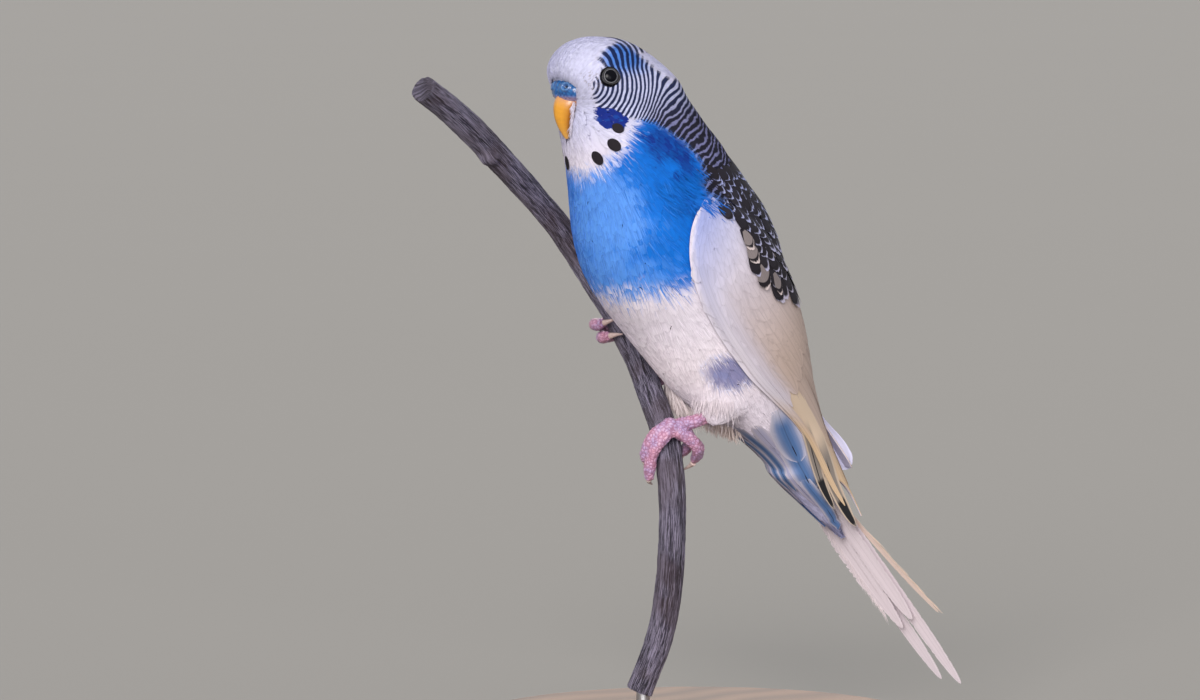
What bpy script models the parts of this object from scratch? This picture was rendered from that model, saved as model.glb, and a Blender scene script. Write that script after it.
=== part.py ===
"""A life-size budgerigar that clings to a cut stem, held over a round base by one short rod.

Sizes are in millimetres. The bird faces -X, its left side is -Y and +Z is up. Its own zero is under
the middle of the head, and an empty carries it to its place over the middle of the base.
"""

import math

import bmesh
import bpy
from mathutils import Matrix, Vector

MM = 0.001
GAP = 0.3  # clearance between neighbouring pieces
BIRD_AT = (-34.0, -5.0, 97.0)  # the bird's zero, seen from the middle of the base's underside

# The body is a loft. Each row is one section: breast-side point (x, z), back-side point (x, z),
# half width, squareness of its outline, and how far it is turned about the upright neck line.
NECK_LINE = (3.6, 0.2)
ROW_LENGTH = 7.0  # from one row to the next, about
HEAD_TURN = -12.0
BODY_ROWS = (
    (-3.2, 73.7, 4.2, 73.4, 3.4, 2.0, 1.0),
    (-7.5, 72.2, 8.2, 71.9, 7.3, 2.1, 1.0),
    (-10.2, 69.4, 11.8, 69.6, 10.0, 2.3, 1.0),
    (-11.1, 66.0, 15.2, 66.7, 11.7, 2.6, 1.0),
    (-9.2, 62.2, 17.9, 63.4, 12.7, 3.2, 1.0),
    (-7.9, 58.0, 20.3, 60.0, 12.9, 2.7, 0.95),
    (-8.2, 53.6, 23.3, 56.8, 13.4, 2.4, 0.85),
    (-7.5, 48.6, 26.8, 53.0, 14.3, 2.2, 0.65),
    (-6.2, 43.2, 31.0, 49.0, 15.6, 2.1, 0.4),
    (-5.3, 37.6, 35.0, 44.4, 17.0, 2.0, 0.2),
    (-4.3, 31.6, 39.4, 39.4, 18.3, 2.0, 0.05),
    (-3.0, 25.4, 43.6, 34.2, 19.1, 2.0, 0.0),
    (-0.4, 18.6, 47.0, 28.4, 19.4, 2.0, 0.0),
    (4.6, 11.4, 49.6, 21.8, 19.1, 2.0, 0.0),
    (11.6, 4.0, 52.0, 14.0, 18.0, 2.0, 0.0),
    (18.8, -3.4, 54.8, 5.6, 16.3, 2.0, 0.0),
    (25.4, -10.2, 57.2, -2.4, 14.2, 2.0, 0.0),
    (33.4, -15.8, 59.4, -9.6, 12.0, 2.0, 0.0),
    (42.4, -20.2, 62.2, -16.6, 9.9, 2.1, 0.0),
    (50.6, -25.4, 65.6, -23.4, 8.4, 2.2, 0.0),
    (57.6, -32.2, 69.6, -30.2, 7.4, 2.3, 0.0),
    (64.6, -40.0, 73.8, -37.6, 7.0, 2.4, 0.0),
    (70.6, -47.4, 77.6, -45.4, 6.8, 2.5, 0.0),
)
SEGMENTS = 24  # points round a section
BALL_SEGMENTS = 16
# Each piece of the body: where it starts and ends along the rows, and rings for each row
HEAD_SPAN = (0.0, 7.0, 2)
NECK_SPAN = (7.0, 10.0, 1)
TRUNK_SPAN = (10.0, 17.0, 1)
RUMP_SPAN = (17.0, 20.0, 1)
HIND_SPAN = (13.0, 20.0, 1)  # the stretch that the thighs lie against

# The folded wing lies on the body: place along BODY_ROWS, angle of its front edge, angle of its
# back edge, thickness in its middle, and lift of its inner face over the body.
WING_ROWS = (
    (9.7, 86.0, 96.0, 0.9, 0.55),
    (10.1, 79.0, 102.0, 1.5, 0.55),
    (10.7, 71.0, 108.0, 2.1, 0.55),
    (11.5, 65.0, 116.0, 2.5, 0.55),
    (12.5, 61.0, 126.0, 2.6, 0.55),
    (13.5, 59.0, 138.0, 2.5, 0.55),
    (14.5, 60.0, 152.0, 2.4, 0.55),
    (15.5, 65.5, 166.0, 2.2, 0.55),
    (16.5, 75.0, 175.0, 2.0, 0.55),
)
WING_TIPS = {
    "left": (
        (17.5, 83.0, 177.0, 1.8, 0.55),
        (18.5, 86.0, 174.0, 1.5, 0.55),
        (19.5, 84.0, 160.0, 1.3, 0.6),
        (20.4, 82.0, 140.0, 1.1, 0.8),
        (21.2, 86.0, 122.0, 0.9, 1.1),
        (21.7, 95.0, 111.0, 0.7, 1.4),
    ),
    "right": (
        (17.3, 82.0, 178.0, 1.7, 0.8),
        (18.0, 92.0, 184.0, 1.5, 2.6),
        (18.7, 108.0, 192.0, 1.2, 3.4),
        (19.3, 132.0, 198.0, 1.0, 3.9),
        (19.8, 158.0, 200.0, 0.8, 4.3),
        (20.1, 176.0, 196.0, 0.7, 4.6),
    ),
}
WING_EDGE = 0.65  # thickness at the wing's edges
WING_STRIPS = 6
WING_RINGS_PER_ROW = 2

EYE_PLACE = (3.45, 69.0)  # along BODY_ROWS, and round from the front
EYE_RADIUS = 3.0
EYE_DEPTH = 2.0  # from the surface of the face in to the middle of the eye

# The bill and cere in the head's own frame: forward, up, half depth, half width.
CERE_AT = (11.9, 62.1)
CERE_HALF = (2.7, 5.5, 2.5)
CERE_LEAN = 12.0
UPPER_BILL = (
    (9.6, 61.0, 2.5, 3.9),
    (11.2, 60.1, 2.7, 3.9),
    (12.1, 58.2, 2.5, 3.5),
    (12.35, 56.0, 2.1, 2.9),
    (12.1, 53.8, 1.6, 2.2),
    (11.7, 52.0, 1.0, 1.4),
    (11.3, 50.5, 0.4, 0.5),
)
LOWER_BILL = (
    (6.8, 56.4, 1.7, 3.0),
    (8.3, 55.0, 1.7, 2.8),
    (9.3, 53.4, 1.2, 2.1),
    (9.8, 52.2, 0.6, 1.2),
)
BILL_SEGMENTS = 16

# The tail is flat, and its middle line runs down and back from TAIL_FROM.
TAIL_FROM = (58.4, -25.0)
TAIL_TIP = (110.5, -84.8)
TAIL_LAYER = 0.95  # from the middle of one layer of feathers to the next
FEATHER_THICK = 0.6
# Each feather: start and end along the tail, middle at start and end across it (left is less
# than 0), half width, layer, and how long its pointed tip is.
TAIL_FEATHERS = {
    "tail_middle_left": (3.0, 79.3, -3.05, -3.15, 2.9, 0, 0.30),
    "tail_middle_right": (3.0, 78.6, 3.05, 3.15, 2.9, 0, 0.30),
    "tail_inner_left": (4.0, 56.0, -3.05, -3.25, 2.9, -1, 0.26),
    "tail_inner_right": (4.0, 60.0, 3.05, 3.25, 2.9, -1, 0.26),
    "tail_outer_left": (5.0, 54.5, -2.4, -12.2, 1.5, 1, 0.30),
    "tail_outer_right": (5.0, 46.0, 2.4, 5.0, 2.2, 1, 0.26),
}
QUILL_WIDTH = 0.45  # of the feather's width, where it comes out of the rump
QUILL_SHARE = 0.35  # of its length, over which it opens to full width
TIP_CLOSING = 0.985
TAIL_STEPS = 12
TAIL_STRIPS = 2
SLOT_SPAN = (1.6, 13.0)
SLOT_HALF = (5.4, 1.75)
UNDERTAIL = (
    (2.0, 6.0, 2.4),
    (8.0, 5.6, 1.8),
    (13.0, 4.9, 1.3),
    (18.0, 3.9, 0.95),
    (23.0, 2.5, 0.65),
    (27.5, 1.0, 0.35),
)

# The stem: x, y, z and radius, from its cut top to its foot.
STEM_ROWS = (
    (-29.4, 28.0, 61.6, 3.1),
    (-18.5, 30.0, 55.4, 3.1),
    (-6.3, 31.8, 46.6, 3.2),
    (10.3, 32.2, 31.9, 2.9),
    (18.2, 32.0, 23.2, 2.9),
    (24.0, 30.5, 14.5, 2.9),
    (28.2, 27.8, 6.8, 3.0),
    (29.2, 23.6, 0.2, 3.1),
    (28.3, 19.2, -4.4, 3.1),
    (24.3, 9.5, -12.4, 3.1),
    (21.4, 2.6, -18.2, 3.1),
    (20.5, -0.4, -25.0, 3.1),
    (21.0, -1.0, -33.8, 3.1),
    (21.8, 0.0, -45.2, 3.1),
    (23.2, 3.0, -56.8, 3.1),
    (23.6, 7.0, -68.5, 3.1),
    (21.3, 11.0, -80.0, 3.15),
)
NEARBY = 0.1  # of a row, for the stem's direction at a point
KNOT_AT = (-7.6, 30.6, 45.2)
KNOT_RADIUS = 3.7

# Toes: angle round the stem (0 is +X, 90 is +Y), distance from its middle line, and height.
PALMS = {"left": (-112.0, 5.1, -19.8), "right": (20.0, 5.3, 3.6)}
PALM_RADIUS = 2.1
TOES = {
    "left": (
        ((-112, 5.1, -19.6), (-150, 5.3, -20.3), (-182, 5.5, -22.0), (-210, 5.5, -24.4)),
        ((-116, 5.1, -20.4), (-150, 5.3, -22.0), (-180, 5.3, -24.3), (-203, 5.2, -28.6)),
        ((-108, 5.1, -20.2), (-74, 6.2, -21.6), (-48, 7.2, -23.7), (-18, 6.3, -26.0)),
        ((-104, 5.1, -19.6), (-62, 5.4, -20.4), (-24, 5.4, -21.8), (8, 5.1, -23.6)),
    ),
    "right": (
        ((22, 5.3, 4.2), (75, 5.4, 6.0), (130, 5.5, 7.2), (180, 5.4, 6.2)),
        ((22, 5.3, 3.4), (75, 5.4, 4.2), (130, 5.5, 4.0), (178, 5.4, 2.4)),
        ((16, 5.3, 3.2), (2, 5.4, 1.8), (-6, 5.4, 0.4), (-12, 5.3, -1.0)),
        ((16, 5.3, 4.2), (0, 5.3, 4.8), (-14, 5.3, 5.2), (-28, 5.2, 5.4)),
    ),
}
TOE_RADIUS = 1.45
TOE_TAPER = 0.14  # share of its radius that a toe loses along its length
TOE_END = 0.72  # and its rounded end's share
CLAW_RADIUS = 0.8
CLAW_FROM = 4.7  # degrees round the stem from the toe's end to the claw
CLAW_TURN = 34.0
CLAW_STEPS = 3
CLAW_CURL = 0.45  # how far the tip comes in to the stem
CLAW_TAPER = 0.78
CLAW_FALL = 0.05  # most that a claw drops for each degree it turns
ANKLES = {"left": (27.0, -6.0, -15.4), "right": (33.2, 15.6, -8.2)}
# The feathered thigh is an egg: middle, end near the ankle, and radius across
THIGHS = {
    "left": ((31.6, -7.6, -11.8), (25.4, -5.6, -16.4), 4.6),
    "right": ((33.6, 11.0, -10.8), (33.0, 16.8, -8.6), 3.4),
}
THIGH_GAP = 0.42  # from the thigh to the body, whose facets leave less than they seem to
SHANK_RADII = (1.67, 1.47, 1.43, 1.55, 1.7)  # from the ankle to the palm

BASE_RADIUS = 55.0
BASE_THICK = 10.0
BASE_EDGE = 1.5
BASE_SIDES = 40
ROD_RADIUS = 1.6
ROD_SIDES = 24
ROD_DEEP = 6.0  # how far the rod goes into the base and into the stem
ROD_SHIFT = (0.6, -0.6)  # keeps the rod inside the stem, which leans


for old in list(bpy.data.objects):
    bpy.data.objects.remove(old, do_unlink=True)


def collection(name, parent=None):
    made = bpy.data.collections.new(name)
    (parent or bpy.context.scene.collection).children.link(made)
    return made


PIECES = collection("budgerigar")
CUTTERS = collection("cutters")

BIRD = bpy.data.objects.new("bird_zero", None)
BIRD.location = Vector(BIRD_AT) * MM
PIECES.objects.link(BIRD)


def material(name, colour, roughness, metallic=0.0):
    made = bpy.data.materials.new(name)
    made.use_nodes = True
    shader = made.node_tree.nodes["Principled BSDF"]
    shader.inputs["Base Color"].default_value = (*colour, 1.0)
    shader.inputs["Roughness"].default_value = roughness
    shader.inputs["Metallic"].default_value = metallic
    made.diffuse_color = (*colour, 1.0)
    return made


WHITE_PLUME = material("white_plumage", (0.86, 0.84, 0.86), 0.75)
BLUE_PLUME = material("blue_plumage", (0.08, 0.32, 0.80), 0.72)
BARRED_PLUME = material("barred_plumage", (0.30, 0.32, 0.42), 0.75)
WING_PLUME = material("wing_plumage", (0.80, 0.78, 0.78), 0.65)
TAIL_PLUME = material("tail_plumage", (0.84, 0.80, 0.80), 0.6)
EYE_GLOSS = material("eye", (0.01, 0.01, 0.012), 0.08)
CERE_SKIN = material("cere_skin", (0.22, 0.35, 0.72), 0.45)
HORN = material("beak_horn", (0.80, 0.42, 0.10), 0.38)
LEG_SKIN = material("leg_skin", (0.76, 0.45, 0.50), 0.5)
CLAW_HORN = material("claw_horn", (0.55, 0.45, 0.40), 0.35)
BARK = material("bark", (0.16, 0.12, 0.13), 0.85)
BASE_WOOD = material("stand_wood", (0.24, 0.16, 0.10), 0.4)
ROD_METAL = material("stand_metal", (0.60, 0.60, 0.60), 0.3, 1.0)


def node(name, mesh, look, smooth=True, parent=BIRD):
    """The finished object called name, in the bird's frame."""
    made = bpy.data.objects.new(name, mesh)
    made.parent = parent
    PIECES.objects.link(made)
    mesh.materials.clear()
    mesh.materials.append(look)
    for face in mesh.polygons:
        face.use_smooth = smooth
    return made


def cutter(name, mesh, parent=BIRD):
    made = bpy.data.objects.new(name, mesh)
    made.parent = parent
    made.hide_render = True
    made.display_type = "WIRE"
    CUTTERS.objects.link(made)
    return made


def combine(target, other, operation="DIFFERENCE"):
    """Applies one exact Boolean to target."""
    bpy.context.view_layer.update()
    step = target.modifiers.new(operation.lower(), "BOOLEAN")
    step.operation = operation
    step.solver = "EXACT"
    step.object = other
    graph = bpy.context.evaluated_depsgraph_get()
    result = bpy.data.meshes.new_from_object(target.evaluated_get(graph))
    target.modifiers.clear()
    look = target.data.materials[0] if target.data.materials else None
    target.data = result
    if look:
        result.materials.clear()
        result.materials.append(look)
    for face in result.polygons:
        face.use_smooth = True
        face.material_index = 0
    return target


def mesh_of(name, points, faces):
    """A mesh in metres from points in millimetres, with its normals turned outward."""
    made = bpy.data.meshes.new(name)
    made.from_pydata([Vector(p) * MM for p in points], [], faces)
    work = bmesh.new()
    work.from_mesh(made)
    bmesh.ops.recalc_face_normals(work, faces=work.faces)
    work.to_mesh(made)
    work.free()
    return made


def loft(name, rings):
    """Closed skin over rings that have the same number of points, with a fan on each end."""
    count = len(rings[0])
    points = [p for ring in rings for p in ring]
    faces = []
    for i in range(len(rings) - 1):
        for j in range(count):
            k = (j + 1) % count
            faces.append((i * count + j, i * count + k, (i + 1) * count + k, (i + 1) * count + j))
    for start in (0, (len(rings) - 1) * count):
        ring = points[start : start + count]
        points.append(sum((Vector(p) for p in ring), Vector()) / count)
        hub = len(points) - 1
        faces += [(hub, start + j, start + (j + 1) % count) for j in range(count)]
    return mesh_of(name, points, faces)


def sample(rows, t):
    """The row at place t along the table, by a Catmull-Rom curve through the rows."""
    t = min(max(t, 0.0), len(rows) - 1.0)
    i = min(int(t), len(rows) - 2)
    f = t - i
    a, b, c, d = (rows[min(max(k, 0), len(rows) - 1)] for k in (i - 1, i, i + 1, i + 2))
    return tuple(
        q + 0.5 * f * (r - p + f * (2 * p - 5 * q + 4 * r - s + f * (3 * (q - r) + s - p)))
        for p, q, r, s in zip(a, b, c, d)
    )


def curve_through(rows, per_row):
    count = (len(rows) - 1) * per_row
    return [sample(rows, i / per_row) for i in range(count + 1)]


def power(value, squareness):
    return math.copysign(abs(value) ** (2.0 / squareness), value)


def body_point(t, angle, grow=0.0):
    """A point of the body's surface; angle 0 is the breast, 90 the bird's left, 180 the back."""
    front_x, front_z, back_x, back_z, width, squareness, turn = sample(BODY_ROWS, t)
    front, back = Vector((front_x, 0, front_z)), Vector((back_x, 0, back_z))
    reach = (back - front) / 2
    along = power(-math.cos(math.radians(angle)), squareness)
    across = power(-math.sin(math.radians(angle)), squareness)
    longer = 1.0 + grow / reach.length
    at = (front + back) / 2 + reach * along * longer + Vector((0, across * (width + grow), 0))
    pivot = Vector((*NECK_LINE, 0.0))
    return Matrix.Rotation(math.radians(HEAD_TURN * turn), 3, "Z") @ (at - pivot) + pivot


def body_mesh(name, span, grow=0.0):
    """The body between two places of the table."""
    steps = round((span[1] - span[0]) * span[2])
    places = [span[0] + (span[1] - span[0]) * i / steps for i in range(steps + 1)]
    angles = [360.0 * j / SEGMENTS for j in range(SEGMENTS)]
    return loft(name, [[body_point(t, a, grow) for a in angles] for t in places])


def shortened(span, low, high):
    """The span with a share of GAP taken off either end."""
    return (span[0] + low * GAP / ROW_LENGTH, span[1] - high * GAP / ROW_LENGTH, span[2])


def across_head(forward, left, up):
    """A point given in the head's own frame: forward and left of the neck line, and height."""
    turn = Matrix.Rotation(math.radians(HEAD_TURN), 3, "Z")
    return turn @ Vector((-forward, -left, up)) + Vector((*NECK_LINE, 0.0))


def ball(name, centre, radii, grow=0.0, lean=0.0):
    """An ellipsoid with its axes along the head's: depth, width and height."""
    bpy.ops.mesh.primitive_uv_sphere_add(segments=BALL_SEGMENTS, ring_count=BALL_SEGMENTS // 2)
    made = bpy.context.active_object
    mesh = made.data
    size = [(r + grow) * MM for r in radii]
    turn = Matrix.Rotation(math.radians(HEAD_TURN), 4, "Z") @ Matrix.Rotation(math.radians(lean), 4, "Y")
    mesh.transform(Matrix.Translation(Vector(centre) * MM) @ turn @ Matrix.Diagonal((*size, 1.0)))
    bpy.data.objects.remove(made)
    mesh.name = name
    return mesh


def egg(name, middle, end, across):
    """An ellipsoid from its middle, the end of its long axis and its radius across."""
    bpy.ops.mesh.primitive_uv_sphere_add(segments=BALL_SEGMENTS, ring_count=BALL_SEGMENTS // 2)
    made = bpy.context.active_object
    mesh = made.data
    long_axis = end - middle
    turn = long_axis.to_track_quat("Z", "Y").to_matrix().to_4x4()
    size = Matrix.Diagonal((across * MM, across * MM, long_axis.length * MM, 1.0))
    mesh.transform(Matrix.Translation(middle * MM) @ turn @ size)
    bpy.data.objects.remove(made)
    mesh.name = name
    return mesh


def bill_mesh(name, rows, grow=0.0):
    """A horn in the middle plane of the head, from rows of forward, up, half depth, half width."""
    rings = []
    for i, (forward, up, depth, width) in enumerate(rows):
        before, after = rows[max(i - 1, 0)], rows[min(i + 1, len(rows) - 1)]
        way = Vector((after[0] - before[0], after[1] - before[1])).normalized()
        out = Vector((-way.y, way.x))
        ring = []
        for j in range(BILL_SEGMENTS):
            a = 2 * math.pi * j / BILL_SEGMENTS
            d = math.cos(a) * (depth + grow)
            ring.append(across_head(forward + out.x * d, math.sin(a) * (width + grow), up + out.y * d))
        rings.append(ring)
    if grow:
        end = Vector((rows[-1][0] - rows[-2][0], 0, rows[-1][1] - rows[-2][1])).normalized() * grow
        shift = across_head(end.x, 0, end.z) - across_head(0, 0, 0)
        rings.append([p + shift for p in rings[-1]])
    return loft(name, rings)


head = node("head", body_mesh("head", shortened(HEAD_SPAN, 0, 0.5)), WHITE_PLUME)
neck = node("neck", body_mesh("neck", shortened(NECK_SPAN, 0.5, 0.5)), BARRED_PLUME)
trunk = node("trunk", body_mesh("trunk", shortened(TRUNK_SPAN, 0.5, 0.5)), BLUE_PLUME)
rump = node("rump", body_mesh("rump", shortened(RUMP_SPAN, 0.5, 0)), WHITE_PLUME)

# Eyes, each in a socket that clears it
for side, sign in (("left", 1), ("right", -1)):
    place, angle = EYE_PLACE[0], EYE_PLACE[1] * sign
    centre = body_point(place, angle, -EYE_DEPTH)
    ball_size = (EYE_RADIUS,) * 3
    node(f"eye_{side}", ball(f"eye_{side}", centre, ball_size), EYE_GLOSS)
    combine(head, cutter(f"socket_{side}", ball(f"socket_{side}", centre, ball_size, GAP)))

# Cere and bill
cere_at = across_head(CERE_AT[0], 0, CERE_AT[1])
cere = node("cere", ball("cere", cere_at, CERE_HALF, lean=CERE_LEAN), CERE_SKIN)
upper = node("bill_upper", bill_mesh("bill_upper", UPPER_BILL), HORN)
lower = node("bill_lower", bill_mesh("bill_lower", LOWER_BILL), HORN)
upper_room = cutter("bill_upper_room", bill_mesh("bill_upper_room", UPPER_BILL, GAP))
lower_room = cutter("bill_lower_room", bill_mesh("bill_lower_room", LOWER_BILL, GAP))
cere_room = cutter("cere_room", ball("cere_room", cere_at, CERE_HALF, GAP, CERE_LEAN))
combine(cere, upper_room)
combine(lower, upper_room)
face_room = combine(combine(cere_room, upper_room, "UNION"), lower_room, "UNION")
combine(head, face_room)


def plate(name, inner, outer):
    """A closed plate between two grids of points that have the same shape."""
    rows, columns = len(inner), len(inner[0])
    points = [p for grid in (inner, outer) for row in grid for p in row]
    faces = []
    for layer in (0, rows * columns):
        for i in range(rows - 1):
            for j in range(columns - 1):
                a = layer + i * columns + j
                faces.append((a, a + 1, a + columns + 1, a + columns))
    rim = [(0, j) for j in range(columns)] + [(i, columns - 1) for i in range(1, rows)]
    rim += [(rows - 1, j) for j in range(columns - 2, -1, -1)] + [(i, 0) for i in range(rows - 2, 0, -1)]
    for (i, j), (k, m) in zip(rim, rim[1:] + rim[:1]):
        a, b, far = i * columns + j, k * columns + m, rows * columns
        faces.append((a, b, b + far, a + far))
    return mesh_of(name, points, faces)


def wing_mesh(name, side):
    """The folded wing over the body."""
    sign = 1 if side == "left" else -1
    rows = WING_ROWS + WING_TIPS[side]
    inner, outer = [], []
    for place, front, back, thick, lift in curve_through(rows, WING_RINGS_PER_ROW):
        low, high = [], []
        for j in range(WING_STRIPS + 1):
            share = j / WING_STRIPS
            angle = sign * (front + (back - front) * share)
            full = math.sin(math.pi * share) ** 0.5
            low.append(body_point(place, angle, lift))
            high.append(body_point(place, angle, lift + max(WING_EDGE, thick * full)))
        inner.append(low)
        outer.append(high)
    return plate(name, inner, outer)


for side in ("left", "right"):
    node(f"wing_{side}", wing_mesh(f"wing_{side}", side), WING_PLUME)

# Tail
tail_from = Vector((TAIL_FROM[0], 0, TAIL_FROM[1]))
tail_along = (Vector((TAIL_TIP[0], 0, TAIL_TIP[1])) - tail_from).normalized()
tail_up = Vector((-tail_along.z, 0, tail_along.x))


def tail_point(along, across, level):
    return tail_from + tail_along * along + Vector((0, across, 0)) + tail_up * level


def feather_mesh(name, start, end, root, tip, half, layer, point):
    """A flat tail feather: a narrow quill end, parallel edges and a pointed tip."""
    inner, outer = [], []
    for i in range(TAIL_STEPS + 1):
        share = i / TAIL_STEPS
        along = start + (end - start) * share
        middle = root + (tip - root) * share
        opened = min(1.0, QUILL_WIDTH + (1 - QUILL_WIDTH) * share / QUILL_SHARE)
        closing = max(0.0, (share - (1 - point)) / point)
        width = half * opened * math.sqrt(1 - TIP_CLOSING * closing**2)
        level = layer * TAIL_LAYER
        low, high = [], []
        for j in range(TAIL_STRIPS + 1):
            across = middle + width * (2 * j / TAIL_STRIPS - 1)
            low.append(tail_point(along, across, level - FEATHER_THICK / 2))
            high.append(tail_point(along, across, level + FEATHER_THICK / 2))
        inner.append(low)
        outer.append(high)
    return plate(name, inner, outer)


for name, sizes in TAIL_FEATHERS.items():
    node(name, feather_mesh(name, *sizes), TAIL_PLUME)

# The rump is open round the tail's root
slot_rings = [
    [tail_point(along, across * SLOT_HALF[0], level * SLOT_HALF[1])
     for across, level in ((-1, -1), (1, -1), (1, 1), (-1, 1))]
    for along in SLOT_SPAN
]
combine(rump, cutter("tail_slot", loft("tail_slot", slot_rings)))

undertail_rings = []
for along, half, depth in UNDERTAIL:
    top = -TAIL_LAYER - FEATHER_THICK / 2 - GAP
    ring = []
    for j in range(BILL_SEGMENTS):
        a = 2 * math.pi * j / BILL_SEGMENTS
        ring.append(tail_point(along, math.cos(a) * half, top - depth + math.sin(a) * depth))
    undertail_rings.append(ring)
undertail = node("undertail", loft("undertail", undertail_rings), BLUE_PLUME)
rump_end = (RUMP_SPAN[0] + 1, RUMP_SPAN[1] + GAP / ROW_LENGTH, 1)
combine(undertail, cutter("rump_room", body_mesh("rump_room", rump_end, GAP)))


def tube(name, points, radii):
    """A round bar with closed ends through points, from a bevelled curve."""
    data = bpy.data.curves.new(name, "CURVE")
    data.dimensions = "3D"
    data.bevel_depth = MM
    data.bevel_resolution = 2
    data.use_fill_caps = True
    spline = data.splines.new("POLY")
    spline.points.add(len(points) - 1)
    for knot, point, radius in zip(spline.points, points, radii):
        knot.co = (*(Vector(point) * MM), 1.0)
        knot.radius = radius
    holder = bpy.data.objects.new(name, data)
    CUTTERS.objects.link(holder)
    graph = bpy.context.evaluated_depsgraph_get()
    mesh = bpy.data.meshes.new_from_object(holder.evaluated_get(graph))
    bpy.data.objects.remove(holder)
    work = bmesh.new()
    work.from_mesh(mesh)
    bmesh.ops.remove_doubles(work, verts=work.verts, dist=1e-6)
    bmesh.ops.recalc_face_normals(work, faces=work.faces)
    work.to_mesh(mesh)
    work.free()
    return mesh


def stem_place(height):
    """Where along STEM_ROWS the stem's middle is at a height."""
    near, far = 0.0, len(STEM_ROWS) - 1.0
    while far - near > 1e-6:
        middle = (near + far) / 2
        if sample(STEM_ROWS, middle)[2] > height:
            near = middle
        else:
            far = middle
    return near


def round_stem(angle, distance, height):
    """A point beside the stem, square to its run: angle 0 is +X and 90 is +Y."""
    place = stem_place(height)
    at = Vector(sample(STEM_ROWS, place)[:3])
    above, below = sample(STEM_ROWS, place - NEARBY), sample(STEM_ROWS, place + NEARBY)
    run = Vector(above[:3]) - Vector(below[:3])
    run.normalize()
    east = (Vector((1, 0, 0)) - run * run.x).normalized()
    north = run.cross(east)
    turn = math.radians(angle)
    return at + (east * math.cos(turn) + north * math.sin(turn)) * distance


# Stem with its knot, on one rod over the base
stem_rows = curve_through(STEM_ROWS, 2)
stem_mesh = tube("stem", [row[:3] for row in stem_rows], [row[3] for row in stem_rows])
stem = node("stem", stem_mesh, BARK)
knot = cutter("knot", ball("knot", KNOT_AT, (KNOT_RADIUS,) * 3))
combine(stem, knot, "UNION")

for side, toes in TOES.items():
    palm = round_stem(*PALMS[side])
    foot_mesh = ball(f"foot_{side}", palm, (PALM_RADIUS,) * 3)
    foot = node(f"foot_{side}", foot_mesh, LEG_SKIN)
    for number, rows in enumerate(toes, 1):
        track = curve_through(rows, 2)
        points = [round_stem(*row) for row in track]
        slim = [TOE_RADIUS * (1 - TOE_TAPER * i / (len(track) - 1)) for i in range(len(track))]
        slim[-1] *= TOE_END
        toe = cutter(f"toe_{side}_{number}", tube(f"toe_{side}_{number}", points, slim))
        combine(foot, toe, "UNION")
        # The claw goes on round the stem from the toe's end
        angle, distance, height = track[-1]
        before = track[-2]
        way = math.copysign(1.0, angle - before[0])
        fall = (height - before[2]) / max(abs(angle - before[0]), 1.0)
        fall = max(-CLAW_FALL, min(CLAW_FALL, fall))
        claw = []
        for k in range(CLAW_STEPS + 1):
            share = k / CLAW_STEPS
            turn = CLAW_FROM + CLAW_TURN * share
            inward = distance - CLAW_CURL * share**2
            claw.append(round_stem(angle + way * turn, inward, height + fall * turn))
        taper = [CLAW_RADIUS * (1 - CLAW_TAPER * k / CLAW_STEPS) for k in range(CLAW_STEPS + 1)]
        name = f"claw_{side}_{number}"
        node(name, tube(name, claw, taper), CLAW_HORN)

    ankle = Vector(ANKLES[side])
    last = len(SHANK_RADII) - 1
    shank_track = [ankle + (palm - ankle) * k / last for k in range(last + 1)]
    name = f"shank_{side}"
    shank = node(name, tube(name, shank_track, SHANK_RADII), LEG_SKIN)
    palm_room = ball(f"palm_room_{side}", palm, (PALM_RADIUS,) * 3, GAP)
    combine(shank, cutter(f"palm_room_{side}", palm_room))
    for number, rows in enumerate(toes, 1):
        track = curve_through(rows, 2)
        name = f"toe_room_{side}_{number}"
        room = tube(name, [round_stem(*row) for row in track], [TOE_RADIUS + GAP] * len(track))
        combine(shank, cutter(name, room))

    middle, end, across = THIGHS[side]
    name = f"thigh_{side}"
    thigh = node(name, egg(name, Vector(middle), Vector(end), across), WHITE_PLUME)
    name = f"trunk_room_{side}"
    combine(thigh, cutter(name, body_mesh(name, HIND_SPAN, THIGH_GAP)))
    name = f"shank_room_{side}"
    shank_room = tube(name, shank_track, [max(SHANK_RADII) + GAP] * len(shank_track))
    combine(thigh, cutter(name, shank_room))

# Base and rod, in the frame of the base's underside
bpy.ops.mesh.primitive_cylinder_add(
    vertices=BASE_SIDES, radius=BASE_RADIUS * MM, depth=BASE_THICK * MM, location=(0, 0, BASE_THICK * MM / 2)
)
base_made = bpy.context.active_object
base_mesh = base_made.data
base_mesh.transform(Matrix.Translation(base_made.location))
bpy.data.objects.remove(base_made)
base = node("stand_base", base_mesh, BASE_WOOD, smooth=False, parent=None)
edge = base.modifiers.new("edge", "BEVEL")
edge.width = BASE_EDGE * MM
edge.segments = 2
edge.limit_method = "ANGLE"


def upright(name, x, y, low, high, radius):
    """A round bar's mesh that stands on end, in the frame of the base's underside."""
    middle = Vector((x, y, (low + high) / 2)) * MM
    bpy.ops.mesh.primitive_cylinder_add(
        vertices=ROD_SIDES, radius=radius * MM, depth=(high - low) * MM, location=middle
    )
    made = bpy.context.active_object
    mesh = made.data
    mesh.transform(Matrix.Translation(made.location))
    bpy.data.objects.remove(made)
    mesh.name = name
    return mesh


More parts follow.
